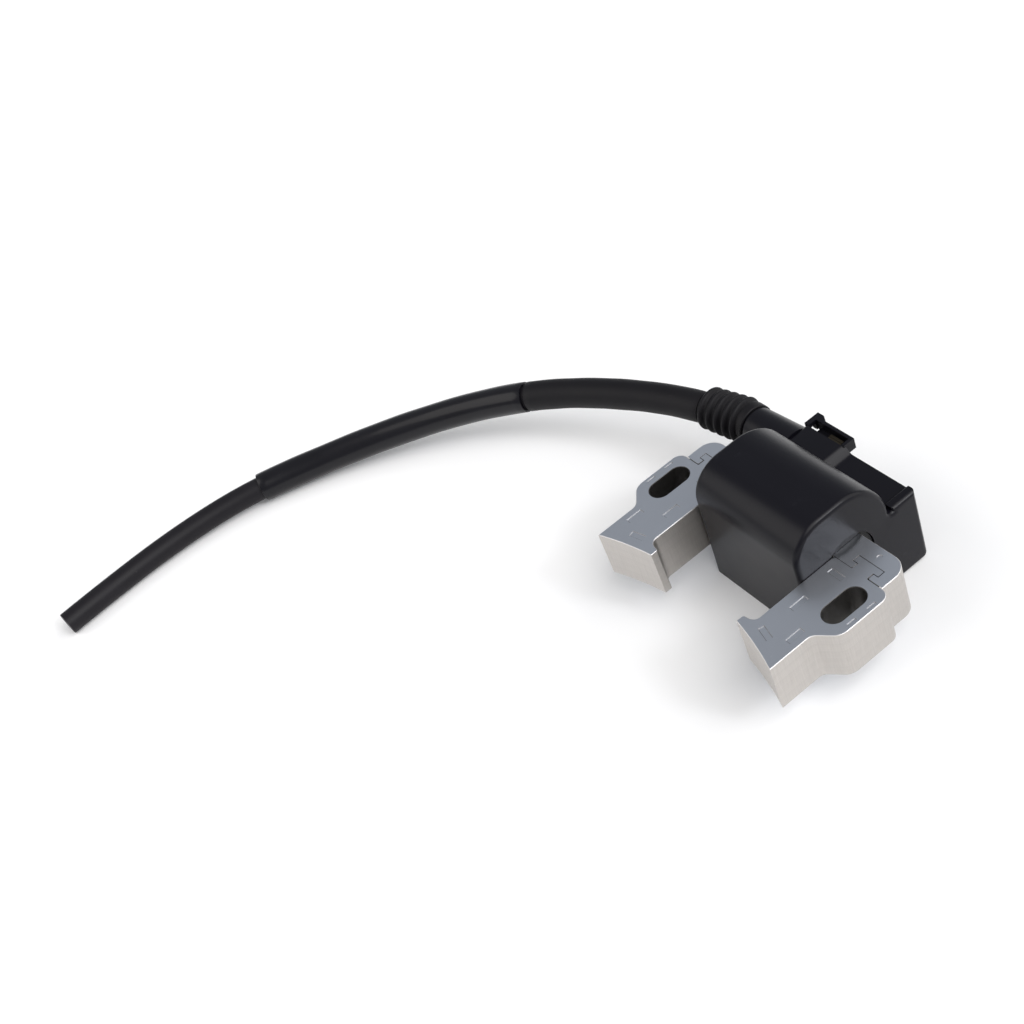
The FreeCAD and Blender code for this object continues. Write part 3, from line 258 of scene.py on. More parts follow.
def slot_shade_group():
    """Painted shade on steel that little light reaches: a mask of the walls of the bolt slots and the seams
    of the T joints.
    """
    tree, ins, outs = new_group("Painted slot and seam shade", [("Vector", "Vector", None)], [("Mask", "Float")])
    parts = add(tree, "SeparateXYZ", {"Vector": ins.outputs["Vector"]})
    across = math_node(tree, "ABSOLUTE", parts.outputs["X"])
    slot_across = math_node(tree, "ABSOLUTE", math_node(tree, "SUBTRACT", across, SLOT_X))
    slot_along = math_node(tree, "ABSOLUTE", math_node(tree, "ADD", parts.outputs["Y"], SLOT_LINE_MM * MM))
    in_slot = math_node(
        tree, "MULTIPLY", math_node(tree, "LESS_THAN", slot_across, SLOT_HALF_MM[0] * MM),
        math_node(tree, "LESS_THAN", slot_along, SLOT_HALF_MM[1] * MM))
    seam_across = math_node(tree, "ABSOLUTE", math_node(tree, "SUBTRACT", across, SEAM_MIDDLE_MM[0] * MM))
    seam_off = math_node(tree, "SUBTRACT", parts.outputs["Y"], SEAM_MIDDLE_MM[1] * MM)
    seam_along = math_node(tree, "ABSOLUTE", seam_off)
    in_seam = math_node(
        tree, "MULTIPLY", math_node(tree, "LESS_THAN", seam_across, SEAM_HALF_MM[0] * MM),
        math_node(tree, "LESS_THAN", seam_along, SEAM_HALF_MM[1] * MM))
    tree.links.new(math_node(tree, "MAXIMUM", in_slot, in_seam), outs.inputs["Mask"])
    return tree


def sheets_group():
    """Stacked sheets on a cut edge: a tone for each sheet, a fine line between, and shear marks."""
    tree, ins, outs = new_group(
        "Stacked sheets",
        [("Vector", "Vector", None), ("Sheet", "Float", 0.0005)],
        [("Tone", "Float"), ("Line", "Float"), ("Shear", "Float")])
    parts = add(tree, "SeparateXYZ", {"Vector": ins.outputs["Vector"]})
    count = math_node(tree, "DIVIDE", parts.outputs["Z"], ins.outputs["Sheet"])
    number = math_node(tree, "FLOOR", count)
    tone = add(tree, "TexWhiteNoise", {"W": number}, noise_dimensions="1D")
    off_middle = math_node(tree, "SUBTRACT", math_node(tree, "FRACT", count), 0.5)
    from_middle = math_node(tree, "ABSOLUTE", off_middle)
    line = ramp(tree, from_middle, 0.40, 0.5)
    streaked = add(
        tree, "VectorMath", {0: ins.outputs["Vector"], 1: (1.0, 1.0, 0.06)}, operation="MULTIPLY")
    shear = add(tree, "TexNoise", {"Vector": streaked.outputs[0], "Scale": 2600.0, "Detail": 4.0})
    tree.links.new(tone.outputs["Value"], outs.inputs["Tone"])
    tree.links.new(line, outs.inputs["Line"])
    tree.links.new(shear.outputs["Fac"], outs.inputs["Shear"])
    return tree


def turns_group():
    """Wound wire: a round ridge for each turn along X."""
    tree, ins, outs = new_group(
        "Wound turns", [("Vector", "Vector", None), ("Wire", "Float", 0.0005)], [("Ridge", "Float")])
    parts = add(tree, "SeparateXYZ", {"Vector": ins.outputs["Vector"]})
    count = math_node(tree, "DIVIDE", parts.outputs["X"], ins.outputs["Wire"])
    off = math_node(tree, "SUBTRACT", math_node(tree, "FRACT", count), 0.5)
    fall = math_node(tree, "POWER", math_node(tree, "ABSOLUTE", off), 2.0)
    ridge = math_node(tree, "SUBTRACT", 1.0, fall)
    tree.links.new(ridge, outs.inputs["Ridge"])
    return tree


GROUPS = {}


def group(tree, make, links):
    """Place a node group, made once, in a material."""
    if make.__name__ not in GROUPS:
        GROUPS[make.__name__] = make()
    node = tree.nodes.new("ShaderNodeGroup")
    node.node_tree = GROUPS[make.__name__]
    for socket, source in links.items():
        if isinstance(source, bpy.types.NodeSocket):
            tree.links.new(source, node.inputs[socket])
        else:
            node.inputs[socket].default_value = source
    return node.outputs


# ---------------------------------------------------------------------------------------------
# Materials


SHADER_SOCKETS = {
    "coat": "Coat Weight", "coat_roughness": "Coat Roughness", "specular": "Specular IOR Level",
}
SOFT_SPECULAR = 0.2
PLASTIC_SCUFF = (0.11, 0.11, 0.1364)
RUBBER_SCUFF = (0.10, 0.095, 0.10)


class Paint:
    """A material being made: its tree, its shader and the coordinates it reads."""

    def __init__(self, name, metallic=0.0, roughness=0.5, base=(0.5, 0.5, 0.5), **shader):
        self.material = bpy.data.materials.new(name)
        self.material.use_nodes = True
        self.tree = self.material.node_tree
        self.shader = self.tree.nodes["Principled BSDF"]
        self.place = self.tree.nodes.new("ShaderNodeTexCoord")
        self.shader.inputs["Base Color"].default_value = (*base, 1.0)
        self.shader.inputs["Metallic"].default_value = metallic
        self.shader.inputs["Roughness"].default_value = roughness
        for socket, value in shader.items():
            self.shader.inputs[SHADER_SOCKETS[socket]].default_value = value

    def feed(self, socket, source):
        """Link a source to one of the shader's sockets."""
        self.tree.links.new(source, self.shader.inputs[socket])

    def vary(self, source, low, high):
        """A number that runs from low to high as the source runs from 0 to 1."""
        node = add(self.tree, "MapRange", {"Value": source, "To Min": low, "To Max": high})
        return node.outputs["Result"]

    def bump(self, height, distance, under=None):
        """A bump of that depth in metres, on top of another one if given."""
        links = {"Height": height, "Distance": distance, "Strength": 1.0}
        if under is not None:
            links["Normal"] = under
        return add(self.tree, "Bump", links).outputs["Normal"]


def shade(colour_values, factor):
    """A colour made darker or lighter by a factor, and never past white."""
    return [min(1.0, value * factor) for value in colour_values]


def stack_steel(name, face_colour, edge_colour, face_roughness):
    """Stamped electrical steel: satin faces, sheared edges with a line for each sheet, a painted highlight
    on the burred edges and painted shade on the dent walls, slot walls and seams.
    """
    paint = Paint(name, metallic=1.0, roughness=face_roughness)
    tree = paint.tree
    where = paint.place.outputs["Object"]
    facing = group(tree, facing_group, {"Normal": paint.place.outputs["Normal"]})
    grain = group(tree, grain_group, {"Vector": where, "Fine scale": 1800.0, "Broad scale": 90.0})
    sheets = group(tree, sheets_group, {"Vector": where})
    scuffs = group(tree, scuff_group, {"Vector": where, "Scale": 300.0, "Amount": 0.6})
    face = mix_colour(tree, paint.vary(grain["Broad"], 0.0, 0.5), face_colour, shade(face_colour, 0.82))
    face = mix_colour(tree, scuffs["Mask"], face, shade(face_colour, 1.35))
    edge = mix_colour(tree, paint.vary(sheets["Tone"], 0.0, 0.30), edge_colour, shade(edge_colour, 0.8))
    edge = mix_colour(tree, paint.vary(sheets["Shear"], 0.0, 0.55), edge, shade(edge_colour, 0.72))
    edge = mix_colour(tree, paint.vary(sheets["Line"], 0.0, 0.35), edge, shade(edge_colour, 0.45))
    both = mix_colour(tree, facing["Flat"], edge, face)
    # Painted highlight: the burred band along the edges is coloured near white, partly the brighter sheared
    # steel of the burr.
    both = mix_colour(tree, paint.vary(facing["Burr highlight"], 0.0, 0.8), both, (0.86, 0.85, 0.84))
    # Painted shade: the leaning faces, the walls of the dents, are darkened to a third of the face colour.
    both = mix_colour(tree, paint.vary(facing["Dent shade"], 0.0, 0.8), both, shade(face_colour, 0.35))
    # Painted shade: the slot walls and joint seams, away from the flat faces, are coloured near black.
    slot_shade = group(tree, slot_shade_group, {"Vector": where})
    painted_shade = math_node(tree, "MULTIPLY", slot_shade["Mask"], math_node(tree, "SUBTRACT", 1.0, facing["Flat"]))
    both = mix_colour(tree, paint.vary(painted_shade, 0.0, 0.88), both, (0.02, 0.019, 0.018))
    paint.feed("Base Color", both)
    edge_rough = paint.vary(sheets["Shear"], face_roughness + 0.06, face_roughness + 0.2)
    face_rough = paint.vary(grain["Fine"], face_roughness - 0.06, face_roughness + 0.08)
    rough = add(tree, "Mix", {"Factor": facing["Flat"], 2: edge_rough, 3: face_rough}, data_type="FLOAT")
    paint.feed("Roughness", rough.outputs[0])
    not_flat = math_node(tree, "SUBTRACT", 1.0, facing["Flat"])
    lines = math_node(tree, "MULTIPLY", sheets["Line"], not_flat)
    shear = math_node(tree, "MULTIPLY", sheets["Shear"], not_flat)
    height = math_node(tree, "SUBTRACT", shear, lines)
    fine = paint.bump(grain["Fine"], 0.000004)
    paint.feed("Normal", paint.bump(height, 0.00003, under=fine))
    return paint.material


def moulded_plastic(name, base, roughness):
    """Satin moulded plastic with a very fine texture and slow differences in gloss."""
    paint = Paint(name, roughness=roughness, base=base, specular=SOFT_SPECULAR)
    tree = paint.tree
    where = paint.place.outputs["Object"]
    grain = group(tree, grain_group, {"Vector": where, "Fine scale": 2600.0, "Broad scale": 60.0})
    scuffs = group(tree, scuff_group, {"Vector": where, "Scale": 220.0, "Amount": 0.25})
    tone = mix_colour(tree, paint.vary(grain["Broad"], 0.0, 1.0), base, shade(base, 1.35))
    paint.feed("Base Color", mix_colour(tree, scuffs["Mask"], tone, PLASTIC_SCUFF))
    broad_rough = paint.vary(grain["Broad"], roughness - 0.05, roughness + 0.07)
    paint.feed("Roughness", math_node(tree, "ADD", broad_rough, paint.vary(scuffs["Mask"], 0.0, 0.25)))
    ripple = paint.bump(grain["Broad"], 0.00001)
    paint.feed("Normal", paint.bump(grain["Fine"], 0.0000035, under=ripple))
    return paint.material


def soft_rubber(name, base, roughness):
    """Matte rubber with pale handling marks."""
    paint = Paint(name, roughness=roughness, base=base, specular=SOFT_SPECULAR)
    tree = paint.tree
    where = paint.place.outputs["Object"]
    grain = group(tree, grain_group, {"Vector": where, "Fine scale": 1500.0, "Broad scale": 80.0})
    scuffs = group(
        tree, scuff_group,
        {"Vector": where, "Scale": 160.0, "Stretch": (1.0, 1.0, 2.0), "Amount": 0.4})
    tone = mix_colour(tree, grain["Broad"], shade(base, 0.8), shade(base, 1.5))
    paint.feed("Base Color", mix_colour(tree, scuffs["Mask"], tone, RUBBER_SCUFF))
    paint.feed("Roughness", paint.vary(grain["Broad"], roughness - 0.08, roughness + 0.1))
    paint.feed("Normal", paint.bump(grain["Fine"], 0.00001))
    return paint.material


def along_lead(name, base, roughness, scuff_colour, scuff_amount, ripple, coat=0.0):
    """Covering of a lead: die lines and scuffs that run along its length, from its own UV map."""
    paint = Paint(
        name, roughness=roughness, base=base, coat=coat, coat_roughness=0.12, specular=SOFT_SPECULAR)
    tree = paint.tree
    around = paint.place.outputs["UV"]
    lines = add(tree, "VectorMath", {0: around, 1: (900.0, 9.0, 1.0)}, operation="MULTIPLY")
    die = add(tree, "TexNoise", {"Vector": lines.outputs[0], "Scale": 1.0, "Detail": 3.0})
    where = paint.place.outputs["Object"]
    grain = group(tree, grain_group, {"Vector": where, "Fine scale": 1700.0, "Broad scale": 110.0})
    scuffs = group(
        tree, scuff_group,
        {"Vector": around, "Scale": 420.0, "Stretch": (1.0, 0.12, 1.0), "Amount": scuff_amount})
    tone = mix_colour(tree, grain["Broad"], shade(base, 0.8), shade(base, 1.4))
    paint.feed("Base Color", mix_colour(tree, scuffs["Mask"], tone, scuff_colour))
    paint.feed("Roughness", paint.vary(grain["Broad"], roughness - 0.06, roughness + 0.08))
    height = math_node(tree, "ADD", math_node(tree, "MULTIPLY", die.outputs["Fac"], 0.6), grain["Fine"])
    paint.feed("Normal", paint.bump(height, ripple))
    return paint.material


def wound_wire(name, base, wire):
    """Enamelled wire wound in neat turns."""
    paint = Paint(name, metallic=0.9, roughness=0.3, base=base, coat=0.6, coat_roughness=0.15)
    tree = paint.tree
    where = paint.place.outputs["Object"]
    turns = group(tree, turns_group, {"Vector": where, "Wire": wire})
    grain = group(tree, grain_group, {"Vector": where, "Fine scale": 400.0, "Broad scale": 100.0})
    paint.feed("Base Color", mix_colour(tree, grain["Broad"], base, shade(base, 0.6)))
    paint.feed("Normal", paint.bump(turns["Ridge"], wire * 0.5))
    return paint.material


def plain_finish(name, base, roughness, metallic=0.0, depth=0.000004):
    """A small inner piece's finish: its colour with slight variation and grain."""
    paint = Paint(name, metallic=metallic, roughness=roughness, base=base)
    tree = paint.tree
    where = paint.place.outputs["Object"]
    grain = group(tree, grain_group, {"Vector": where, "Fine scale": 1400.0, "Broad scale": 160.0})
    paint.feed("Base Color", mix_colour(tree, grain["Broad"], shade(base, 0.85), shade(base, 1.12)))
    paint.feed("Roughness", paint.vary(grain["Fine"], roughness - 0.05, roughness + 0.08))
    paint.feed("Normal", paint.bump(grain["Fine"], depth))
    return paint.material


# ---------------------------------------------------------------------------------------------
# Modelling helpers


MERGE_DISTANCE = 1e-7
CREASE_ANGLE = math.radians(38)
NODE_WELD_DISTANCE = 1e-6
NODE_SHARP_ANGLE = math.radians(25)


def finish_piece(name, mesh_maker, material, replaces=()):
    mesh = bpy.data.meshes.new(name)
    bm = bmesh.new()
    mesh_maker(bm)
    bmesh.ops.remove_doubles(bm, verts=bm.verts, dist=MERGE_DISTANCE)
    bmesh.ops.recalc_face_normals(bm, faces=bm.faces)
    for face in bm.faces:
        face.smooth = True
    for edge in bm.edges:
        edge.smooth = len(edge.link_faces) == 2 and edge.calc_face_angle(0.0) < CREASE_ANGLE
    bm.to_mesh(mesh)
    bm.free()
    piece = bpy.data.objects.new(name, mesh)
    bpy.context.scene.collection.objects.link(piece)
    piece.data.materials.append(material)
    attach(piece, "root")
    if replaces:
        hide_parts(*replaces)
    return piece


def turn_profile(bm, profile, steps):
    """Spin a closed profile of (along, radius) points once about X."""
    corners = [bm.verts.new((along, 0.0, radius)) for along, radius in profile]
    edges = [bm.edges.new((one, two)) for one, two in zip(corners, corners[1:] + corners[:1])]
    bmesh.ops.spin(
        bm, geom=corners + edges, axis=(1.0, 0.0, 0.0), cent=(0.0, 0.0, 0.0), angle=math.tau, steps=steps,
        use_merge=True, use_duplicate=False)


def spline_points(curve_object):
    """The points of a curve's own centre line, and the length along it at each."""
    data = curve_object.data
    depth = data.bevel_depth
    data.bevel_depth = 0.0
    bpy.context.view_layer.update()
    mesh = bpy.data.meshes.new_from_object(curve_object)
    data.bevel_depth = depth
    points = [vertex.co.copy() for vertex in mesh.vertices]
    bpy.data.meshes.remove(mesh)
    lengths = [0.0]
    for before, after in zip(points, points[1:]):
        lengths.append(lengths[-1] + (after - before).length)
    return points, lengths


def place_along(points, lengths, distance):
    """The point and the direction at a distance along the centre line."""
    for index in range(1, len(points)):
        if lengths[index] >= distance or index == len(points) - 1:
            span = lengths[index] - lengths[index - 1]
            share = (distance - lengths[index - 1]) / span
            point = points[index - 1].lerp(points[index], share)
            before = points[max(index - 2, 0)]
            after = points[min(index + 1, len(points) - 1)]
            return point, (after - before).normalized()


def sweep_rings(bm, centre_line, rings, segments=48):
    """A skin drawn through rings of (distance along, radius) by extruding one circle, with UVs."""
    points, lengths = centre_line
    uv = bm.loops.layers.uv.new("UVMap")
    place = {}
    turn = None
    before = None
    for distance, radius in rings + rings[:1]:
        centre, direction = place_along(points, lengths, distance)
        if turn is None:
            turn = direction.to_track_quat("X", "Z")
        else:
            turn = (turn @ Vector((1, 0, 0))).rotation_difference(direction) @ turn
        matrix = Matrix.Translation(centre) @ turn.to_matrix().to_4x4()
        matrix = matrix @ Matrix.Rotation(math.pi / 2, 4, "Y") @ Matrix.Scale(radius, 4)
        if before is None:
            ring = bmesh.ops.create_circle(bm, segments=segments, radius=1.0, matrix=matrix)["verts"]
        else:
            old = set(ring)
            edges = list({
                edge for vertex in ring for edge in vertex.link_edges
                if edge.other_vert(vertex) in old and (edge.is_boundary or edge.is_wire)})
            made = bmesh.ops.extrude_edge_only(bm, edges=edges)["geom"]
            fresh = {item for item in made if isinstance(item, bmesh.types.BMVert)}
            ring = [
                next(edge.other_vert(vertex) for edge in vertex.link_edges
                     if edge.other_vert(vertex) in fresh)
                for vertex in ring]
            bmesh.ops.transform(bm, matrix=matrix @ before.inverted(), verts=ring)
        for index, vertex in enumerate(ring):
            place[vertex] = (index / segments, distance)
        before = matrix
    for face in bm.faces:
        shares = [place[loop.vert][0] for loop in face.loops]
        wraps = max(shares) - min(shares) > 0.5
        for loop, share in zip(face.loops, shares):
            share += 1.0 if wraps and share < 0.5 else 0.0
            loop[uv].uv = (share * AROUND, place[loop.vert][1])


# ---------------------------------------------------------------------------------------------
# Operators: one for each piece or group of like pieces, and one for the studio


# The lead's centre line, which the lead's operator fills and the pieces along it read.
LINE = {}


class COIL_OT_studio(bpy.types.Operator):
    """Set the floor, the lights and the camera"""

    bl_idname = "coil.studio"
    bl_label = "Studio"

    def execute(self, context):
        settings = context.scene.coil_studio
        self.make_floor()
        self.make_lights(settings)
        self.make_camera(settings)
        context.scene.view_settings.view_transform = "Standard"
        return {"FINISHED"}

    def make_floor(self):
        bm = bmesh.new()
        bmesh.ops.create_grid(bm, x_segments=1, y_segments=1, size=3.0)
        mesh = bpy.data.meshes.new("studio_floor")
        bm.to_mesh(mesh)
        bm.free()
        floor = bpy.data.objects.new("studio_floor", mesh)
        bpy.context.scene.collection.objects.link(floor)
        paper = Paint("Floor paper", roughness=1.0, base=(0.94, 0.94, 0.94), specular=0.0)
        floor.data.materials.append(paper.material)

    def make_lights(self, settings):
        world = bpy.data.worlds.new("Studio surround")
        world.use_nodes = True
        world.node_tree.nodes["Background"].inputs["Color"].default_value = (0.90, 0.94, 1.0, 1.0)
        world.node_tree.nodes["Background"].inputs["Strength"].default_value = settings.sky
        bpy.context.scene.world = world
        self.soft_light("key_light", (0.65, 0.1, 0.75), strength=1.75, tint=(1.0, 0.98, 0.96))
        self.soft_light("front_fill", (-0.4, -0.8, 0.6), strength=1.05, tint=(1.0, 0.96, 0.92))
        self.soft_light("back_fill", (0.4, 0.9, 0.6), strength=0.9, tint=(1.0, 0.98, 0.95))
        self.soft_light("rim_light", (0.75, 0.37, 0.6), strength=0.6, tint=(0.93, 0.95, 1.0), spread=12)

    def soft_light(self, name, direction, strength, tint, spread=55):
        """Even light from a patch of the sky in that direction, as many degrees wide as its spread."""
        light = bpy.data.lights.new(name, "SUN")
        light.angle = math.radians(spread)
        light.energy = strength
        light.color = tint
        lamp = bpy.data.objects.new(name, light)
        lamp.location = Vector(direction) * 0.5
        lamp.rotation_euler = (-Vector(direction)).to_track_quat("-Z", "Y").to_euler()
        bpy.context.scene.collection.objects.link(lamp)

    def make_camera(self, settings):
        data = bpy.data.cameras.new("studio_camera")
        data.lens = settings.lens
        data.sensor_width = 36.0
        data.clip_start = 0.01
        camera = bpy.data.objects.new("studio_camera", data)
        place = Vector((0.24199, -0.13792, 0.31051))
        aim = Vector((-0.08905, -0.03547, 0.0))
        level = (aim - place).to_track_quat("-Z", "Y")
        turn = level @ Quaternion((0.0, 0.0, 1.0), -settings.roll)
        camera.matrix_world = Matrix.Translation(place) @ turn.to_matrix().to_4x4()
        bpy.context.scene.collection.objects.link(camera)
        bpy.context.scene.camera = camera


class COIL_OT_lead(bpy.types.Operator):
    """Lay the lead along its route, with its cut end"""

    bl_idname = "coil.lead"
    bl_label = "Lead"

    def execute(self, context):
        sizes = context.scene.coil_lead
        finishes = context.scene.coil_finishes
        curve = bpy.data.curves.new("ignition_lead", "CURVE")
        curve.dimensions = "3D"
        spline = curve.splines.new("NURBS")
        spline.points.add(len(ROUTE) - 1)
        for point, place in zip(spline.points, ROUTE):
            point.co = (*place, 1.0)
        spline.order_u = 3
        spline.use_endpoint_u = True
        spline.resolution_u = 14
        curve.bevel_depth = sizes.lead_diameter / 2
        curve.bevel_resolution = 9
        curve.use_fill_caps = True
        lead = bpy.data.objects.new("ignition_lead", curve)
        context.scene.collection.objects.link(lead)
        curve.materials.append(
            along_lead("Lead jacket", finishes.lead, 0.46, (0.13, 0.125, 0.13), 0.8, 0.00002))
        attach(lead, "root")
        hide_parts("lead_insulation", "lead_conductor")
        LINE["points"], LINE["lengths"] = spline_points(lead)
        return {"FINISHED"}


SLEEVE_GAP = 0.05 * MM
SLEEVE_LIP = 0.2 * MM
SLEEVE_RING_SPACING = 2.5 * MM
SLEEVE_SWELL = 0.06 * MM


class COIL_OT_sleeves(bpy.types.Operator):
    """Cover the lead with its rubber sleeve and its vinyl sleeve"""

    bl_idname = "coil.sleeves"
    bl_label = "Sleeves"

    def execute(self, context):
        sizes = context.scene.coil_lead
        finishes = context.scene.coil_finishes
        rubber = along_lead("Sleeve rubber", finishes.rubber, 0.52, (0.06, 0.06, 0.065), 0.35, 0.000012)
        vinyl = along_lead("Sleeve vinyl", finishes.vinyl, 0.30, (0.10, 0.10, 0.11), 0.3, 0.000006, coat=0.2)
        self.sleeve("rubber_sleeve_skin", sizes.rubber_start, sizes.rubber_end, sizes.rubber_radius, rubber,
                    "boot_rubber", "rubber_sleeve")
        self.sleeve("vinyl_sleeve_skin", sizes.vinyl_start, sizes.vinyl_end, sizes.vinyl_radius, vinyl,
                    "sleeve_vinyl", "vinyl_sleeve")
        return {"FINISHED"}

    def sleeve(self, name, start, end, radius, material, slot, node):
        """One sleeve: a slightly uneven outer wall with eased ends, and an inner wall on the lead."""
        inner = bpy.context.scene.coil_lead.lead_diameter / 2 + SLEEVE_GAP
        lip = SLEEVE_LIP
        count = max(8, round((end - start) / SLEEVE_RING_SPACING))
        rings = [(start, radius - lip), (start + lip * 0.3, radius - lip * 0.3)]
        for step in range(count + 1):
            share = step / count
            swell = SLEEVE_SWELL * math.sin(share * 23.0) * math.sin(share * 9.0 + 1.0)
            rings.append((start + lip + (end - start - lip * 2) * share, radius + swell))
        rings += [(end - lip * 0.3, radius - lip * 0.3), (end, radius - lip)]
        rings += [(end + (start - end) * step / count, inner) for step in range(count + 1)]
        centre_line = (LINE["points"], LINE["lengths"])
        finish_piece(name, lambda bm: sweep_rings(bm, centre_line, rings), material, [node])


BOOT_TURN_STEPS = 72
BOOT_CHAMFER = 0.2 * MM
BOOT_MOUTH_CHAMFER = 0.3 * MM
RIB_STEPS = 12
RIB_FULLNESS = 0.6
RIB_SHARE = 0.999


class COIL_OT_boot(bpy.types.Operator):
    """Turn the ribbed boot between the tower and the lead"""

    bl_idname = "coil.boot"
    bl_label = "Boot"

    def execute(self, context):
        sizes = context.scene.coil_boot
        material = soft_rubber("Boot rubber", context.scene.coil_finishes.rubber, 0.55)
        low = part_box("coil_case")[0]
        middle = Vector((
            low.x - sizes.stand, MOUTH_LINE_MM * MM - SLOT_LINE_MM * MM, MOUTH_HEIGHT_MM * MM))
        profile = self.profile(sizes)
        mouth = Vector((low.x, middle.y, middle.z))
        back = -sizes.seat_gap - sizes.seat_length
        seat = [(-sizes.seat_gap, sizes.bore_radius),
                (-sizes.seat_gap, sizes.collar_radius - BOOT_CHAMFER),
                (-sizes.seat_gap - BOOT_CHAMFER, sizes.collar_radius), (back, sizes.collar_radius),
                (back, sizes.bore_radius)]

        def make(bm):
            turn_profile(bm, profile, BOOT_TURN_STEPS)
            turn = Matrix.Rotation(math.pi + sizes.turn, 4, "Z")
            bmesh.ops.transform(bm, matrix=Matrix.Translation(middle) @ turn, verts=bm.verts)
            turned = set(bm.verts)
            turn_profile(bm, seat, BOOT_TURN_STEPS)
            fresh = [vertex for vertex in bm.verts if vertex not in turned]
            bmesh.ops.transform(bm, matrix=Matrix.Translation(mouth), verts=fresh)

        finish_piece("ribbed_boot", make, material, ["strain_relief_boot"])
        return {"FINISHED"}

    def profile(self, sizes):
        """Bore, collar and rounded ribs, as points of (along, radius)."""
        points = [(0.0, sizes.bore_radius), (0.0, sizes.collar_radius - BOOT_MOUTH_CHAMFER)]
        points.append((BOOT_MOUTH_CHAMFER, sizes.collar_radius))
        points.append((sizes.collar_length - BOOT_CHAMFER, sizes.collar_radius))
        for rib in range(sizes.ribs):
            start = sizes.collar_length + sizes.pitch * rib
            points += self.rib(start, sizes, sizes.rib_radius + sizes.growth * (sizes.ribs - 1 - rib))
        end = sizes.collar_length + sizes.pitch * sizes.ribs
        points.append((end, sizes.bore_radius))
        return points

    def rib(self, start, sizes, crest):
        """One groove and the rib after it, both rounded."""
        middle = (crest + sizes.groove_radius) / 2
        rise = (crest - sizes.groove_radius) / 2
        points = []
        for step in range(RIB_STEPS + 1):
            share = step / RIB_STEPS
            wave = math.cos(math.tau * share)
            flat = math.copysign(abs(wave) ** RIB_FULLNESS, wave)
            points.append((start + sizes.pitch * share * RIB_SHARE, middle - rise * flat))
        return points


CUT_FACE_STEPS = 48
CUT_FACE_ROOT = -0.4 * MM
STRANDS_ACROSS = 3.1
OUTER_STRANDS = 6
STRAND_LENGTH = 0.6 * MM
STRAND_MIDDLE = -0.2 * MM


class COIL_OT_cut_end(bpy.types.Operator):
    """Face the lead's cut end, with its conductor"""

    bl_idname = "coil.cut_end"
    bl_label = "Cut end"

    def execute(self, context):
        sizes = context.scene.coil_lead
        points, lengths = LINE["points"], LINE["lengths"]
        end, direction = place_along(points, lengths, lengths[-1])
        turn = direction.to_track_quat("X", "Z").to_matrix().to_4x4()
        place = Matrix.Translation(end) @ turn
        outer = sizes.lead_diameter / 2
        core = sizes.core_diameter / 2
        face = plain_finish("Cut rubber", (0.055, 0.052, 0.058), 0.75, depth=0.00006)
        strand = plain_finish("Core strands", (0.02, 0.02, 0.02), 0.6, metallic=0.3, depth=0.00008)
        ring = [(CUT_FACE_ROOT, core), (CUT_FACE_ROOT, outer - 0.2 * MM), (0.02 * MM, outer - 0.12 * MM),
                (0.10 * MM, outer - 0.5 * MM), (0.06 * MM, core + 0.9 * MM), (0.12 * MM, core + 0.3 * MM),
                (0.02 * MM, core + 0.02 * MM)]

        def make_ring(bm):
            turn_profile(bm, ring, CUT_FACE_STEPS)
            bmesh.ops.transform(bm, matrix=place, verts=bm.verts)

        end_face = finish_piece("lead_cut_face", make_ring, face)

        def make_core(bm):
            self.strands(bm, core)
            bmesh.ops.transform(bm, matrix=place, verts=bm.verts)

        core_end = finish_piece("lead_core_strands", make_core, strand)
        tuple(ROUTE[0])
        return {"FINISHED"}

    def strands(self, bm, core):
        """A bundle of short round strands, one in the middle and six round it."""
        radius = core / STRANDS_ACROSS
        centres = [(0.0, 0.0)]
        for index in range(OUTER_STRANDS):
            angle = math.tau * index / OUTER_STRANDS
            centres.append((math.cos(angle) * radius * 2, math.sin(angle) * radius * 2))
        for across, up in centres:
            matrix = Matrix.Translation((STRAND_MIDDLE, across, up)) @ Matrix.Rotation(math.pi / 2, 4, "Y")
            bmesh.ops.create_cone(
                bm, cap_ends=True, segments=12, radius1=radius, radius2=radius * 0.9, depth=STRAND_LENGTH,
                matrix=matrix)


def dress(nodes, material):
    """Give CAD nodes a finish and smooth shading that keeps their sharp edges."""
    for name in nodes:
        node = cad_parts[name]
        if not node.material_slots:
            node.data.materials.append(material)
        for place in node.material_slots:
            place.material = material
        for face in node.data.polygons:
            face.use_smooth = True
        weld = node.modifiers.new("Weld", "WELD")
        weld.merge_threshold = NODE_WELD_DISTANCE
        split = node.modifiers.new("Sharp edges", "EDGE_SPLIT")
        split.split_angle = NODE_SHARP_ANGLE


class COIL_OT_core(bpy.types.Operator):
    """Finish the laminated legs and bar"""

    bl_idname = "coil.core"
    bl_label = "Core"

    def execute(self, context):
        finishes = context.scene.coil_finishes
        steel = tuple(finishes.steel)
        edge = tuple(finishes.steel_edge)
        dress(["left_leg", "right_leg"], stack_steel("Leg steel", steel, edge, 0.34))
        lighter = shade(steel, 1.08)
        dress(["core_bar"], stack_steel("Bar steel", lighter, edge, 0.30))
        return {"FINISHED"}


class COIL_OT_case(bpy.types.Operator):
    """Finish the moulded case and its resin"""

    bl_idname = "coil.case"
    bl_label = "Case"

    def execute(self, context):
        case = tuple(context.scene.coil_finishes.case)
        dress(["coil_case"], moulded_plastic("Case nylon", case, 0.30))
        dress(["potting_resin"], moulded_plastic("Potting resin", (0.02, 0.018, 0.02), 0.2))
        return {"FINISHED"}


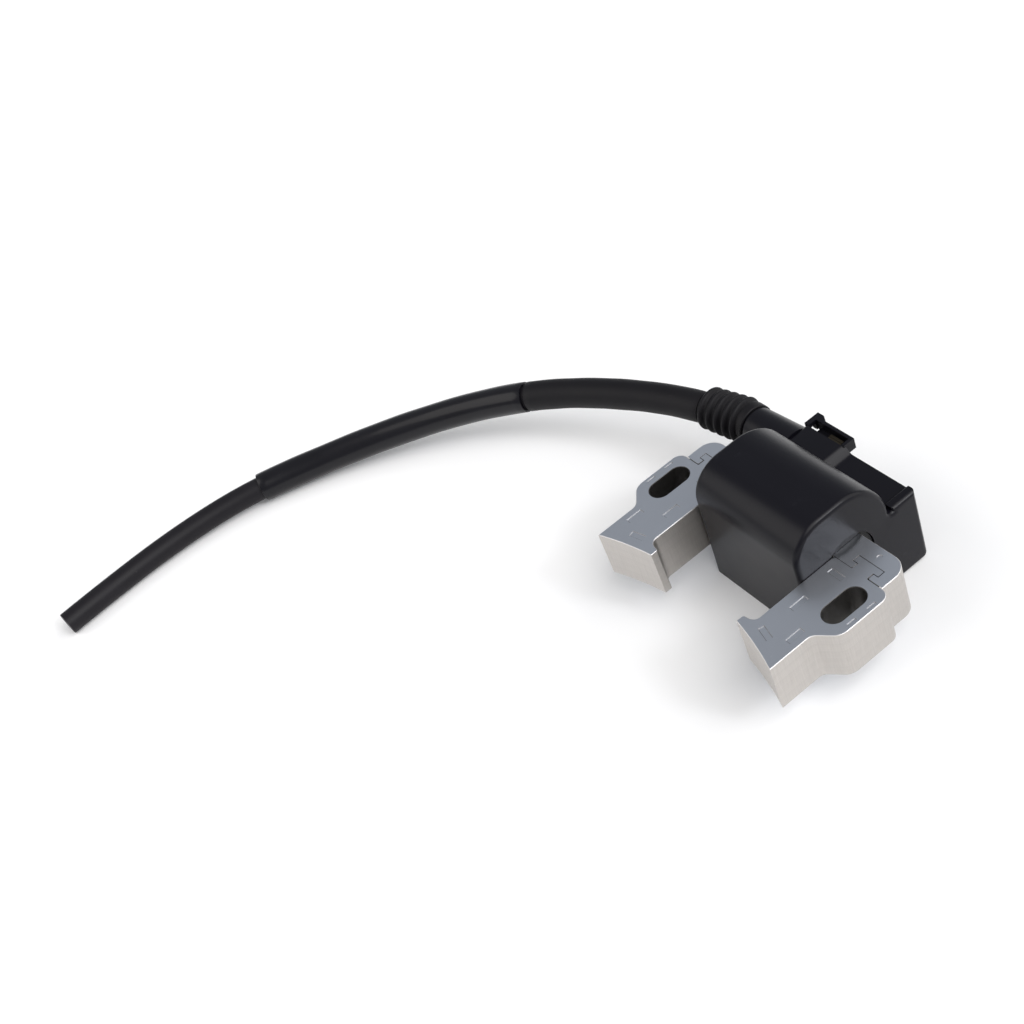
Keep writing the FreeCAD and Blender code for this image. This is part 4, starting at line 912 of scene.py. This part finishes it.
class COIL_OT_insides(bpy.types.Operator):
    """Finish the windings, the module and the terminals inside"""

    bl_idname = "coil.insides"
    bl_label = "Insides"

    def execute(self, context):
        dress(["primary_winding", "hookup_wires", "high_voltage_link"],
              wound_wire("Heavy enamelled wire", (0.55, 0.20, 0.08), 0.5 * MM))
        dress(["secondary_winding"], wound_wire("Fine enamelled wire", (0.60, 0.28, 0.12), 0.12 * MM))
        dress(["primary_tape"], plain_finish("Film tape", (0.62, 0.50, 0.20), 0.35))
        dress(["primary_bobbin", "secondary_bobbin"],
              moulded_plastic("Bobbin nylon", (0.005, 0.005, 0.006), 0.45))
        dress(["circuit_board"], plain_finish("Glass-epoxy board", (0.03, 0.16, 0.07), 0.4))
        dress(["power_transistor", "drive_transistor", "clamp_diode"],
              plain_finish("Device epoxy", (0.02, 0.02, 0.022), 0.55))
        dress(["storage_capacitor"], plain_finish("Dipped film", (0.38, 0.07, 0.03), 0.25))
        dress(["resistors"], plain_finish("Resistor lacquer", (0.48, 0.35, 0.22), 0.3))
        dress(["ground_strap", "high_voltage_pin"],
              plain_finish("Tinned brass", (0.66, 0.60, 0.48), 0.3, metallic=1.0))
        # The terminal blade is coloured near black, so that it shows as little as the dark pocket around it.
        dress(["stop_terminal"], plain_finish("Near-black brass", (0.07, 0.06, 0.045), 0.6, metallic=1.0))
        return {"FINISHED"}


class COIL_PT_panel(bpy.types.Panel):
    """Pieces of the ignition coil"""

    bl_label = "Ignition Coil"
    bl_idname = "COIL_PT_panel"
    bl_space_type = "VIEW_3D"
    bl_region_type = "UI"
    bl_category = "Ignition Coil"

    def draw(self, context):
        for name in STEPS:
            self.layout.operator("coil." + name)
        for name in SETTINGS:
            settings = getattr(context.scene, name)
            for prop in settings.__annotations__:
                self.layout.prop(settings, prop)


STEPS = ("studio", "lead", "sleeves", "boot", "cut_end", "core", "case", "insides")
SETTINGS = {
    "coil_lead": LeadSizes,
    "coil_boot": BootSizes,
    "coil_finishes": Finishes,
    "coil_studio": StudioSettings,
}
CLASSES = (
    LeadSizes, BootSizes, Finishes, StudioSettings, COIL_OT_studio, COIL_OT_lead, COIL_OT_sleeves,
    COIL_OT_boot, COIL_OT_cut_end, COIL_OT_core, COIL_OT_case, COIL_OT_insides, COIL_PT_panel,
)


def register():
    for item in CLASSES:
        bpy.utils.register_class(item)
    for name, settings in SETTINGS.items():
        setattr(bpy.types.Scene, name, PointerProperty(type=settings))


def unregister():
    for name in SETTINGS:
        delattr(bpy.types.Scene, name)
    for item in reversed(CLASSES):
        bpy.utils.unregister_class(item)


def main():
    register()
    for name in STEPS:
        getattr(bpy.ops.coil, name)()
    bpy.context.view_layer.update()


if __name__ == "__main__":
    main()
